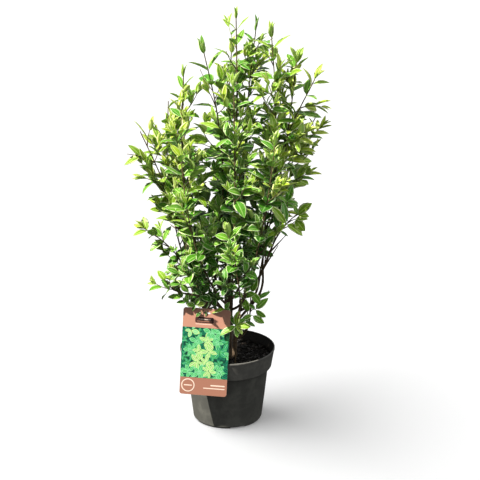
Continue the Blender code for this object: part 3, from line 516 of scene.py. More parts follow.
card_turn = spin(2, -CARD_YAW) @ spin(0, -CARD_LEAN) @ spin(1, CARD_ROLL)
face = card_turn @ np.array([0, -1.0, 0])
rim_point = np.array([face[0], face[1], 0]) / math.hypot(face[0], face[1]) * RIM_RADIUS
rim_point[2] = POT_HEIGHT - 0.5 * RIM_BEAD
reach = rim_point @ face + CARD_RIM_GAP + CARD_THICKNESS / 2
card_centre = np.array([CARD_CENTRE_X, 0.0, CARD_CENTRE_Z])
card_centre[1] = (reach - card_centre[0] * face[0] - card_centre[2] * face[2]) / face[1]


def on_card(points):
    """Points given across, back and up from the card's centre, put where the card hangs."""
    return np.asarray(points, float) @ card_turn.T + card_centre


def rounded_box(width, height, corner, steps=6):
    """Corners of a rectangle round the origin with round corners, anticlockwise."""
    quarter, step = np.divmod(np.arange(4 * (steps + 1)), steps + 1)
    angle = (quarter + step / steps) * math.pi / 2
    x = np.array([1, -1, -1, 1])[quarter] * (width / 2 - corner) + corner * np.cos(angle)
    y = np.array([1, 1, -1, -1])[quarter] * (height / 2 - corner) + corner * np.sin(angle)
    return np.stack([x, y], axis=-1)


# The plate is a frame of quads between its outline and the slot, on its face and its back, with both edges closed.
outline = rounded_box(CARD_WIDTH, CARD_HEIGHT, CARD_CORNER)
slot_edge = rounded_box(SLOT_WIDTH, SLOT_HEIGHT, 0.45 * SLOT_HEIGHT) + [0, CARD_HEIGHT / 2 - SLOT_BELOW_TOP]
half = CARD_THICKNESS / 2
loops = [(slot_edge, -half), (outline, -half), (outline, half), (slot_edge, half), (slot_edge, -half)]
card_points = np.stack(
    [np.stack([xy[:, 0], np.full(len(xy), back), xy[:, 1]], axis=-1) for xy, back in loops[:4]]
)
sides = len(outline)
card_quads = grid_quads(5, sides)
card_quads = np.where(card_quads >= 4 * sides, card_quads - 4 * sides, card_quads)
white_plastic, tree, shader = finish_of("white_label_plastic", "#d9d6cc", Roughness=0.42, IOR=1.49)
place = node(tree, "ShaderNodeTexCoord").outputs["Object"]
fine = node(tree, "ShaderNodeTexNoise", {"Scale": 700.0, "Detail": 2.0}, {"Vector": place})
bumped(tree, shader, fine.outputs["Fac"], 0.12, 0.0002)
piece(
    "label_plate", on_card(card_points), card_quads, [white_plastic], ["label_card"], smooth=False
)

# The print lies on the face: a terracotta ground, a dark picture field, and on it a made-up pattern of rosettes of
# two-toned leaves. Rosettes that could overlap lie at different heights, three thousandths of a millimetre apart.
PRINT_LIFT = 0.00005
PRINT_STEP = 0.000003
FIELD = (-0.0459, 0.0459, -0.0515, 0.0478)


def flat_shape(xy, lift, side=-1):
    """One flat shape, as a fan of its outline round its middle, lifted off the card's face (-1) or its back (1)."""
    x, z = np.vstack([xy, xy.mean(axis=0)]).T
    points = on_card(np.stack([x, np.full(x.shape, side * (half + lift)), z], axis=-1))
    count = len(xy)
    first = np.arange(count)
    return points, np.stack([first, (first + 1) % count, np.full(count, count)], axis=-1)[:, ::-side]


shapes = []
inks = {}
for label, tone, gloss in (
    ("ink_terracotta", "#ab7865", 0.40),
    ("ink_salmon", "#cb9580", 0.40),
    ("ink_rust", "#8f5a48", 0.40),
    ("ink_dark_plum", "#4b2f2c", 0.38),
    ("ink_cream", "#f2dccd", 0.42),
    ("ink_deep_teal", "#0c4a3c", 0.36),
    ("ink_teal", "#1f8f68", 0.36),
    ("ink_green", "#4bb768", 0.36),
    ("ink_mint", "#86dca0", 0.36),
    ("ink_lime", "#8cd472", 0.36),
    ("ink_pale_lime", "#c2eb98", 0.36),
    ("ink_leaf", "#6cc24f", 0.36),
):
    inks[label], tree, shader = finish_of(label, tone, Roughness=gloss)
    place = node(tree, "ShaderNodeTexCoord").outputs["Object"]
    # The print's rosette grain is 0.15 mm in the real card and is drawn at 0.8 mm.
    rosette = node(tree, "ShaderNodeTexNoise", {"Scale": 1200.0, "Detail": 1.0}, {"Vector": place})
    bumped(tree, shader, rosette.outputs["Fac"], 0.08, 0.0001)
ink_order = list(inks)


def add_shape(xy, lift, ink, side=-1):
    """Adds a flat shape in this ink to the print."""
    shapes.append((*flat_shape(np.asarray(xy, float), lift, side), ink_order.index(ink)))


edge = rounded_box(CARD_WIDTH - 0.0002, CARD_HEIGHT - 0.0002, CARD_CORNER)
top_z = CARD_HEIGHT / 2 - SLOT_BELOW_TOP - SLOT_HEIGHT / 2 - 0.0001
low_edge = edge[edge[:, 1] < 0]
add_shape([*low_edge.tolist(), [CARD_WIDTH / 2 - 0.0001, top_z], [0.0001 - CARD_WIDTH / 2, top_z]], PRINT_LIFT, "ink_terracotta")
high_z = CARD_HEIGHT / 2 - SLOT_BELOW_TOP + SLOT_HEIGHT / 2 + 0.0001
high_edge = edge[edge[:, 1] > 0]
add_shape([[CARD_WIDTH / 2 - 0.0001, high_z], *high_edge.tolist(), [0.0001 - CARD_WIDTH / 2, high_z]], PRINT_LIFT, "ink_salmon")
for side in (-1, 1):
    inner_x, outer_x = side * (SLOT_WIDTH / 2 + 0.0001), side * (CARD_WIDTH / 2 - 0.0001)
    corners = [[inner_x, top_z], [outer_x, top_z], [outer_x, high_z], [inner_x, high_z]]
    add_shape(corners[::side], PRINT_LIFT, "ink_salmon")
x0, x1, z0, z1 = FIELD
header = [(-CARD_WIDTH / 2 + 0.0001, z1), (CARD_WIDTH / 2 - 0.0001, z1), (CARD_WIDTH / 2 - 0.0001, top_z)]
add_shape([*header, (-CARD_WIDTH / 2 + 0.0001, top_z)], 1.5 * PRINT_LIFT, "ink_salmon")
add_shape([(x0, z0), (x1, z0), (x1, z1), (x0, z1)], 2 * PRINT_LIFT, "ink_deep_teal")
draw = random.Random(f"{SEED} print")
t = np.linspace(0, 1, 6)
leaf_x = np.concatenate([t, t[-2:0:-1]])
leaf_y = np.concatenate([np.sin(t * math.pi) ** 0.8, -(np.sin(t[-2:0:-1] * math.pi) ** 0.8)]) * 0.5
# Tones from the card's dim edges to its bright middle: a leaf's rim, its blade and its midrib.
TONES = [
    ("ink_teal", "ink_deep_teal", "ink_teal"),
    ("ink_green", "ink_teal", "ink_mint"),
    ("ink_mint", "ink_green", "ink_mint"),
    ("ink_pale_lime", "ink_mint", "ink_pale_lime"),
    ("ink_pale_lime", "ink_lime", "ink_cream"),
]
LAYERS = ((0.0150, 0.0120, -0.9, 0.0), (0.0200, 0.0175, 1.1, 0.12))
level = 0
for layer, (pitch, reach, lightness, gap_share) in enumerate(LAYERS):
    columns, rows = int(0.092 / pitch) + 2, int(0.103 / pitch) + 2
    for phase in range(4):
        for place in range(columns * rows):
            column, row = place % columns, place // columns
            if (column % 2) + 2 * (row % 2) != phase:
                continue
            x = x0 + (column - 0.5 * layer + 0.25 * (row % 2)) * pitch + draw.uniform(-1, 1) * 0.0022
            z = z0 + (row - 0.4 * layer) * pitch + draw.uniform(-1, 1) * 0.0022
            first = draw.uniform(0, math.tau)
            tone = 2.0 + lightness - 1.8 * (x / x1) ** 2 + draw.uniform(-1.3, 1.3)
            outer_ink, inner_ink, rib_ink = TONES[int(np.clip(round(tone), 0, 4))]
            if draw.random() < gap_share:
                continue
            for blade in range(5):
                heading = first + blade * math.tau / 5 + draw.uniform(-0.22, 0.22)
                long = reach * draw.uniform(0.66, 1.0)
                wide = long * draw.uniform(0.46, 0.58)
                c, q = math.cos(heading), math.sin(heading)
                for scale, thin, ink, extra in ((1.0, 1.0, outer_ink, 0), (0.72, 1.0, inner_ink, 1), (0.8, 0.16, rib_ink, 2)):
                    a = (leaf_x * scale + 0.5 * (1 - scale) + 0.04) * long
                    b = leaf_y * wide * scale * thin
                    xy = np.stack([x + a * c - b * q, z + a * q + b * c], axis=-1)
                    clipped = np.stack([np.clip(xy[:, 0], x0, x1), np.clip(xy[:, 1], z0, z1)], axis=-1)
                    shift = np.abs(clipped - xy).max()
                    if shift < 0.35 * long:
                        lift = 3 * PRINT_LIFT + (level + 3 * (blade % 2) + extra) * PRINT_STEP
                        add_shape(clipped, lift, ink)
        level += 6
top_lift = 3 * PRINT_LIFT + (level + 2) * PRINT_STEP
# Plain marks stand where the photographed card carries words and badges: a dark plate, a ring and two pale bars.
add_shape(rounded_box(0.036, 0.0115, 0.0030) + [-0.004, 0.0630], PRINT_LIFT * 2, "ink_dark_plum")
add_shape(rounded_box(0.024, 0.0018, 0.0008) + [-0.004, 0.0645], PRINT_LIFT * 3, "ink_cream")
add_shape(rounded_box(0.030, 0.0014, 0.0006) + [-0.004, 0.0605], PRINT_LIFT * 3, "ink_terracotta")
add_shape(rounded_box(0.032, 0.0013, 0.0006) + [-0.005, 0.0548], PRINT_LIFT * 3, "ink_cream")
circle = np.stack([np.cos(np.arange(40) * math.tau / 40), np.sin(np.arange(40) * math.tau / 40)], axis=-1)
badge = np.array([-0.0300, -0.0675])
add_shape(circle * 0.0132 + badge, top_lift, "ink_cream")
add_shape(circle * 0.0111 + badge, top_lift + PRINT_LIFT, "ink_terracotta")
add_shape(rounded_box(0.016, 0.0022, 0.001) + badge, top_lift + 2 * PRINT_LIFT, "ink_cream")
add_shape(rounded_box(0.028, 0.0026, 0.0012) + [0.0280, -0.0655], PRINT_LIFT * 2, "ink_cream")
add_shape(rounded_box(0.042, 0.0020, 0.0009) + [0.0210, -0.0715], PRINT_LIFT * 2, "ink_cream")
# The back is white with a terracotta foot, and bars and small squares where such a card has its notes on care.
low_back = edge[edge[:, 1] < -0.02]
add_shape([*low_back.tolist(), [CARD_WIDTH / 2 - 0.0001, -0.058], [0.0001 - CARD_WIDTH / 2, -0.058]], PRINT_LIFT, "ink_terracotta", 1)
for row, width in enumerate((0.060, 0.072, 0.066, 0.070, 0.048)):
    add_shape(rounded_box(width, 0.0020, 0.0009) + [(0.072 - width) / 2, 0.052 - 0.0065 * row], PRINT_LIFT, "ink_dark_plum", 1)
for place in range(4):
    square = rounded_box(0.0145, 0.0145, 0.0020) + [-0.0285 + 0.019 * place, 0.004]
    add_shape(square, PRINT_LIFT, "ink_leaf", 1)
    add_shape(circle * 0.0040 + [-0.0285 + 0.019 * place, 0.004], PRINT_LIFT * 2, "ink_cream", 1)
for row, width in enumerate((0.070, 0.064, 0.068, 0.040)):
    add_shape(rounded_box(width, 0.0016, 0.0007) + [(0.072 - width) / 2, -0.018 - 0.0055 * row], PRINT_LIFT, "ink_dark_plum", 1)
points, faces, slots, offset = [], [], [], 0
for corners, fan, ink in shapes:
    points.append(corners)
    faces.append(fan + offset)
    slots.append(np.full(len(fan), ink))
    offset += len(corners)
piece(
    "label_print", np.vstack(points), np.vstack(faces), list(inks.values()),
    slots=np.concatenate(slots), smooth=False,
)

# The strap: a flat tongue 8 mm wide of the card's own plastic, bent over the bough and back to the card.
STRAP_WIDTH = 0.008
STRAP_RISE = 0.014
STRAP_LOOP_RADIUS = 0.0085
STRAP_TUCK = 0.004
STRAP_END_BACK = 0.0026
top = CARD_HEIGHT / 2 - 0.004
loop = CARD_HEIGHT / 2 + GAP + STRAP_RISE
arc = np.linspace(0, math.pi, 25)
strap_path = np.vstack(
    [
        [(0.0002, top), (0.0, top + 0.010)],
        np.stack([STRAP_LOOP_RADIUS * (1 - np.cos(arc)), loop + STRAP_LOOP_RADIUS * np.sin(arc)], axis=-1),
        [(1.2 * STRAP_LOOP_RADIUS, CARD_HEIGHT / 2 + 0.35 * STRAP_RISE), (STRAP_END_BACK, CARD_HEIGHT / 2 - STRAP_TUCK)],
    ]
)
ahead = unit(np.gradient(strap_path, axis=0))
outward = np.stack([-ahead[:, 1], ahead[:, 0]], axis=-1) * CARD_THICKNESS / 2
ring = [(-1, 1), (1, 1), (1, -1), (-1, -1)]
strap_points = np.stack(
    [
        np.stack(
            [
                np.full(len(strap_path), side * STRAP_WIDTH / 2),
                strap_path[:, 0] + outward[:, 0] * face_side,
                strap_path[:, 1] + outward[:, 1] * face_side,
            ],
            axis=-1,
        )
        for side, face_side in ring
    ],
    axis=1,
)
rows = len(strap_path)
strap_quads = np.vstack([grid_quads(rows, 4), [[3, 2, 1, 0]], [[0, 1, 2, 3] + np.array(4 * (rows - 1))]])
russet_plastic, tree, shader = finish_of("russet_label_plastic", "#6d4336", Roughness=0.45, IOR=1.49)
place = node(tree, "ShaderNodeTexCoord").outputs["Object"]
fine = node(tree, "ShaderNodeTexNoise", {"Scale": 700.0, "Detail": 2.0}, {"Vector": place})
bumped(tree, shader, fine.outputs["Fac"], 0.12, 0.0002)
piece("label_tongue", on_card(strap_points), strap_quads, [russet_plastic], ["label_strap"], smooth=False)

# The boughs: eighteen younger limbs of the same wood, each forking off a stem and turning up.
# One of them runs through the label's strap. Each starts inside its stem, so the fork shows no gap.
BOUGHS = {
    "bough_top_left": ("stem_centre", 0.60, (-0.020, -0.006, 0.335), 0.0028),
    "bough_top_mid": ("stem_centre", 0.70, (0.034, 0.012, 0.352), 0.0028),
    "bough_left": ("stem_left", 0.56, (-0.072, 0.006, 0.286), 0.0026),
    "bough_low_left": ("stem_left", 0.60, (-0.074, -0.024, 0.300), 0.0024),
    "bough_far_left": ("stem_left", 0.76, (-0.070, -0.030, 0.322), 0.0024),
    "bough_up_right": ("stem_right", 0.70, (0.048, -0.024, 0.318), 0.0025),
    "bough_right": ("stem_right", 0.58, (0.070, 0.006, 0.318), 0.0026),
    "bough_far_right": ("stem_right", 0.46, (0.066, 0.030, 0.300), 0.0025),
    "bough_long_right": ("stem_right", 0.84, (0.084, -0.034, 0.362), 0.0026),
    "bough_low_right": ("stem_right", 0.20, (0.044, -0.012, 0.216), 0.0022),
    "bough_back_left": ("stem_back", 0.52, (-0.044, 0.062, 0.272), 0.0024),
    "bough_back_right": ("stem_back", 0.62, (0.036, 0.066, 0.282), 0.0024),
    "bough_back": ("stem_back", 0.38, (-0.002, 0.084, 0.246), 0.0023),
    "bough_front_left": ("stem_front", 0.76, (-0.022, -0.072, 0.292), 0.0024),
    "bough_front_right": ("stem_front", 0.70, (0.038, -0.064, 0.290), 0.0024),
    "bough_front": ("stem_front", 0.46, (0.020, -0.080, 0.238), 0.0022),
    "bough_low_front": ("stem_left", 0.42, (-0.048, -0.046, 0.254), 0.0022),
    "bough_label": ("stem_front", 0.58, (-0.080, -0.080, 0.290), 0.0023),
}
BOUGH_TIP_SHARE = 0.8
BOUGH_RISE = 0.75
BOUGH_POINTS = 40
BOUGH_SIDES = 14
STRAP_HOLD = on_card([0.0, STRAP_LOOP_RADIUS - 0.0020, CARD_HEIGHT / 2 + GAP + STRAP_RISE + 0.0015])


def bough_shape(name, through=None):
    """Points and radii of one bough from its stem's surface to its tip, and the fork inside the stem."""
    stem, share, tip, radius = BOUGHS[name]
    rng = random.Random(f"{SEED} {name}")
    points, radii = limbs[stem]
    fork, upward = along(points, share)
    tip = np.array(tip)
    stem_radius = radii[2] + (radii[-1] - radii[2]) * share
    out = tip - fork if through is None else through * 2 - (fork + tip) / 2 - fork
    sideways = unit(out - upward * (out @ upward))
    leave = unit(sideways + upward * BOUGH_RISE) if through is None else unit(out)
    slant = abs(leave @ sideways)
    start = fork + leave * ((stem_radius * 1.04 + radius * math.sqrt(1 - slant**2) + 2 * GAP) / slant)
    if through is None:
        line = wandering(bent_line(start, tip, leave, LIMB_RINGS), rng, BOUGH_WANDER)
    else:
        line = curved_line(start, through * 2 - (start + tip) / 2, tip, LIMB_RINGS)
    return line, np.linspace(radius, radius * BOUGH_TIP_SHARE, LIMB_RINGS), fork


forks = {}
for name in BOUGHS:
    line, radii, fork = bough_shape(name, STRAP_HOLD if name == "bough_label" else None)
    limbs[name] = (line, radii)
    forks[name] = fork
bough_lines = [smooth_line(np.vstack([forks[n], limbs[n][0]]), BOUGH_POINTS) for n in BOUGHS]
bough_radii = [np.linspace(limbs[n][1][0] * 1.12, limbs[n][1][-1], BOUGH_POINTS) for n in BOUGHS]
points, faces = tubes(bough_lines, bough_radii, BOUGH_SIDES, bark_relief)
piece("boughs", points, faces, [old_bark], list(BOUGHS))

# The leaders and twigs: on from each limb's tip goes a leader with side twigs by the solids' own seeded rule.
# Finer spurs come out of the leaf joints. The wood is slender, brown below and olive green at the ends.
MASSES = {
    "mass_top_centre": ("stem_centre", (0.018, 0.002, 0.796), 6, 0.075),
    "mass_top_left": ("bough_top_left", (-0.041, -0.012, 0.737), 6, 0.070),
    "mass_top_mid": ("bough_top_mid", (0.054, 0.024, 0.770), 6, 0.075),
    "mass_top_right": ("bough_up_right", (0.084, -0.028, 0.764), 6, 0.075),
    "mass_left_leader": ("stem_left", (-0.080, -0.028, 0.690), 6, 0.080),
    "mass_left": ("bough_left", (-0.112, 0.026, 0.632), 6, 0.075),
    "mass_far_left": ("bough_far_left", (-0.158, -0.036, 0.588), 6, 0.058),
    "mass_low_left": ("bough_low_left", (-0.152, -0.024, 0.398), 3, 0.045),
    "mass_right_leader": ("stem_right", (0.130, 0.014, 0.708), 6, 0.080),
    "mass_right": ("bough_right", (0.160, -0.022, 0.684), 6, 0.080),
    "mass_far_right": ("bough_far_right", (0.166, 0.034, 0.600), 5, 0.075),
    "mass_long_right": ("bough_long_right", (0.138, -0.046, 0.442), 3, 0.050),
    "mass_low_right": ("bough_low_right", (0.060, -0.030, 0.264), 3, 0.044),
    "mass_top_back": ("stem_back", (0.008, 0.074, 0.716), 4, 0.080),
    "mass_back_left": ("bough_back_left", (-0.098, 0.108, 0.566), 4, 0.080),
    "mass_back_right": ("bough_back_right", (0.096, 0.110, 0.586), 4, 0.080),
    "mass_back": ("bough_back", (0.000, 0.148, 0.456), 4, 0.070),
    "mass_top_front": ("stem_front", (0.014, -0.076, 0.676), 5, 0.080),
    "mass_front_left": ("bough_front_left", (-0.082, -0.108, 0.556), 5, 0.075),
    "mass_front_right": ("bough_front_right", (0.088, -0.108, 0.578), 5, 0.075),
    "mass_front": ("bough_front", (0.006, -0.144, 0.418), 5, 0.070),
    "mass_low_front": ("bough_low_front", (-0.040, -0.086, 0.392), 4, 0.056),
    "mass_label": ("bough_label", (-0.114, -0.094, 0.318), 3, 0.044),
}
BASAL_FOOT = (0.016, -0.062)
BASAL_TIP = (0.018, -0.084, 0.214)
BASAL_RADIUS = 0.0018
LEADER_RADIUS_SHARE = 0.92
TWIG_RADIUS_SHARE = 0.75
TWIG_TIP_RADIUS = 0.0010
TWIG_ANGLE = math.radians(50)
TWIG_FIRST, TWIG_LAST = 0.08, 0.88
TWIG_SHORTEN = 0.45
TWIG_LIFT = 0.35
TWIG_REACHES = (1.0, 0.72, 0.5)
TWIG_PLACE_RANGE = (0.2, 0.8)
TWIG_ANGLE_RANGE = (0.85, 1.2)
TWIG_LENGTH_RANGE = (0.8, 1.15)
TURN = math.radians(137.5)
SPACE_MARGIN = 0.0010
LEADER_RINGS = 5
TWIG_RINGS = 3
LEADER_EXTRA = 0.010
TWIG_EXTRA = 0.009
BASAL_EXTRA = 0.012


def turned_about(direction, axis, angle):
    """The direction turned about the axis."""
    aside = np.cross(axis, direction)
    return direction * math.cos(angle) + aside * math.sin(angle) + axis * (axis @ direction) * (1 - math.cos(angle))


def across(axis):
    """Any direction across this axis."""
    return unit(np.cross(axis, np.array([0.31, 0.87, 0.38])))


def gaps(points, stretches):
    """The distance from each point to the nearest of these stretches, given as starts and steps."""
    starts, steps = stretches
    away = points[:, None, :] - starts[None, :, :]
    share = np.clip((away * steps).sum(axis=2) / (steps * steps).sum(axis=1), 0.0, 1.0)
    return np.linalg.norm(away - share[..., None] * steps, axis=2).min(axis=1)


# The crown's edge in the photograph: height, and how far it reaches to the left and right in the plant's mid plane.
CROWN_EDGE = np.array(
    [
        (0.205, -0.086, 0.000),
        (0.248, -0.092, 0.010),
        (0.268, -0.100, 0.040),
        (0.290, -0.112, 0.058),
        (0.327, -0.100, 0.070),
        (0.362, -0.082, 0.086),
        (0.393, -0.094, 0.104),
        (0.405, -0.106, 0.140),
        (0.417, -0.114, 0.146),
        (0.443, -0.147, 0.140),
        (0.473, -0.140, 0.122),
        (0.492, -0.148, 0.140),
        (0.513, -0.162, 0.176),
        (0.552, -0.182, 0.170),
        (0.592, -0.152, 0.190),
        (0.611, -0.130, 0.182),
        (0.628, -0.124, 0.142),
        (0.649, -0.111, 0.150),
        (0.660, -0.098, 0.136),
        (0.670, -0.088, 0.138),
        (0.680, -0.070, 0.172),
        (0.706, -0.052, 0.168),
        (0.725, -0.044, 0.141),
        (0.744, -0.036, 0.108),
        (0.781, -0.012, 0.080),
    ]
)
# Openings in the crown, through which the sky shows: across, height and radius in the mid plane.
OPENINGS = np.array(
    [
        (-0.005, 0.755, 0.016),
        (0.014, 0.740, 0.012),
        (0.031, 0.738, 0.009),
        (-0.012, 0.727, 0.010),
        (-0.033, 0.710, 0.010),
        (0.132, 0.695, 0.007),
        (-0.061, 0.691, 0.009),
        (-0.022, 0.684, 0.011),
        (0.138, 0.670, 0.010),
        (-0.050, 0.649, 0.013),
        (-0.014, 0.649, 0.009),
        (0.137, 0.642, 0.009),
        (0.055, 0.659, 0.007),
        (-0.056, 0.617, 0.008),
        (-0.123, 0.603, 0.009),
        (-0.028, 0.580, 0.012),
        (0.093, 0.433, 0.013),
        (0.083, 0.412, 0.016),
        (0.110, 0.375, 0.012),
        (0.064, 0.312, 0.012),
        (-0.133, 0.280, 0.009),
        (-0.105, 0.391, 0.012),
        (-0.102, 0.372, 0.010),
        (0.029, 0.273, 0.011),
        (0.027, 0.230, 0.010),
    ]
)
# Masses whose leaves are all placed one by one.
PLACED = ("mass_low_right", "mass_long_right", "mass_basal_shoot")
# Masses whose leaves may stand beyond the crown's edge.
STRAYS = ("mass_low_left", "mass_low_right", "mass_long_right", "mass_label")
EYE = np.array([0.0252, -2.4, 1.129])
SUNLIGHT = unit(np.array([0.60, 0.30, -0.80]))
# The part of the card's face that the sun reaches: left, right, bottom and top from its centre.
LIT_HEAD = (-0.052, 0.014, 0.020, 0.092)


def in_mid_plane(point):
    """Across and height of a point, carried along the line of sight to the plant's mid plane."""
    return (EYE + (point - EYE) * (EYE[1] / (EYE[1] - point[1])))[[0, 2]]


def in_edge(point):
    """True where a point is seen inside the crown's edge."""
    x, z = in_mid_plane(point)
    left, right = (np.interp(z, CROWN_EDGE[:, 0], CROWN_EDGE[:, side]) for side in (1, 2))
    return left < x < right


def in_crown(point, edge=True):
    """True where a point is seen in no opening and, unless edge is off, inside the crown's edge."""
    clear = (np.linalg.norm(OPENINGS[:, :2] - in_mid_plane(point), axis=1) > OPENINGS[:, 2]).all()
    return clear and (not edge or in_edge(point))


def shades_label(point):
    """True where a point stands between the sun and the lit part of the label's head."""
    travel = (card_centre - point) @ face / (SUNLIGHT @ face)
    across_card, _, up_card = card_turn.T @ (point + SUNLIGHT * travel - card_centre)
    return travel > 0.016 and LIT_HEAD[0] < across_card < LIT_HEAD[1] and LIT_HEAD[2] < up_card < LIT_HEAD[3]


def in_reach(point):
    """True where a point lies inside the solids' box."""
    return all(low < value < high for low, value, high in zip(solid_box[0], point, solid_box[1]))


leaders = {}
for name, (limb, tip, _, _) in MASSES.items():
    points, radii = limbs[limb]
    heading = unit(points[-1] - points[-2])
    foot = points[-1] + heading * GAP * 2
    leaders[name] = (bent_line(foot, np.array(tip), heading, LEADER_RINGS), radii[-1] * LEADER_RADIUS_SHARE, points[-1])
BASAL_START = np.array([*BASAL_FOOT, SOIL_LEVEL + GAP])
lines = {name: line for name, (line, _, _) in leaders.items()}
lines["mass_basal_shoot"] = bent_line(BASAL_START, np.array(BASAL_TIP), np.array([0, 0, 1.0]), TWIG_RINGS)
starts = {name: line[:-1] for name, line in lines.items()}
steps = {name: line[1:] - line[:-1] for name, line in lines.items()}

sprays = []
for name, (_, _, count, reach) in MASSES.items():
    rng = random.Random(f"{SEED} {name} twigs")
    leader, foot_radius, joint = leaders[name]
    others = (
        np.concatenate([starts[n] for n in lines if n != name]),
        np.concatenate([steps[n] for n in lines if n != name]),
    )
    heading = unit(leader[-1] - leader[-2])
    extra = 0.001 if name in PLACED else LEADER_EXTRA
    full = smooth_line(np.vstack([joint, leader, leader[-1] + heading * extra]), 25)
    sprays.append({"mass": name, "order": 0, "line": full, "radius": foot_radius})
    around = rng.uniform(0, math.tau)
    for place in range(count):
        share = TWIG_FIRST + (TWIG_LAST - TWIG_FIRST) * (place + rng.uniform(*TWIG_PLACE_RANGE)) / count
        root, axis = along(leader, share)
        around += TURN
        outward = turned_about(across(axis), axis, around)
        angle = TWIG_ANGLE * rng.uniform(*TWIG_ANGLE_RANGE)
        set_out = axis * math.cos(angle) + outward * math.sin(angle)
        length = reach * (1 - TWIG_SHORTEN * share) * rng.uniform(*TWIG_LENGTH_RANGE)
        radius = (foot_radius + (TWIG_TIP_RADIUS - foot_radius) * share) * TWIG_RADIUS_SHARE
        for shorter in TWIG_REACHES:
            tip = root + unit(set_out + np.array([0, 0, TWIG_LIFT])) * length * shorter
            line = bent_line(root, tip, set_out, TWIG_RINGS)
            if (gaps(line[1:], (starts[name], steps[name])) + SPACE_MARGIN < gaps(line[1:], others)).all():
                fine = bent_line(root, tip + unit(tip - root) * TWIG_EXTRA, set_out, 13)
                # A twig that is seen to leave the crown ends at its edge.
                kept = max(4, sum(in_edge(point) for point in fine))
                fine = smooth_line(fine[:kept], 13) if name not in STRAYS else fine
                sprays.append({"mass": name, "order": 1, "line": fine, "radius": radius})
                break
# Shoots that stand out at the crown's edge: the mass or bough that each is on, its place along it, and its tip.
SHOOTS = [
    ("mass_top_right", 0.82, (0.101, -0.020, 0.716)),
    ("mass_top_mid", 0.80, (0.066, 0.010, 0.722)),
    ("mass_top_mid", 0.90, (0.064, 0.014, 0.758)),
    ("mass_top_right", 0.90, (0.073, -0.026, 0.742)),
    ("mass_top_right", 0.72, (0.076, -0.032, 0.690)),
    ("mass_right_leader", 0.86, (0.116, 0.006, 0.690)),
    ("mass_top_left", 0.74, (-0.033, -0.016, 0.668)),
    ("mass_far_left", 0.92, (-0.143, -0.034, 0.602)),
    ("mass_right", 0.86, (0.176, -0.014, 0.640)),
    ("mass_far_right", 0.80, (0.182, 0.012, 0.596)),
    ("mass_far_right", 0.52, (0.158, 0.004, 0.506)),
    ("mass_far_left", 0.80, (-0.188, -0.038, 0.554)),
    ("mass_far_left", 0.62, (-0.158, -0.040, 0.508)),
    ("mass_far_left", 0.46, (-0.141, -0.042, 0.514)),
    ("mass_far_left", 0.28, (-0.133, -0.038, 0.460)),
    ("mass_far_left", 0.16, (-0.097, -0.036, 0.418)),
    ("mass_low_left", 0.60, (-0.129, -0.030, 0.376)),
    ("mass_low_left", 0.34, (-0.104, -0.028, 0.359)),
    ("mass_low_left", 0.16, (-0.111, -0.034, 0.318)),
    ("mass_far_right", 0.34, (0.147, 0.020, 0.506)),
    ("mass_left", 0.78, (-0.104, 0.006, 0.600)),
    ("mass_left", 0.60, (-0.098, -0.004, 0.560)),
    ("mass_left_leader", 0.84, (-0.079, -0.038, 0.660)),
    ("mass_left_leader", 0.70, (-0.068, -0.050, 0.616)),
    ("mass_top_front", 0.72, (0.044, -0.090, 0.612)),
    ("mass_top_front", 0.55, (0.046, -0.096, 0.560)),
    ("mass_front", 0.70, (0.016, -0.182, 0.404)),
]
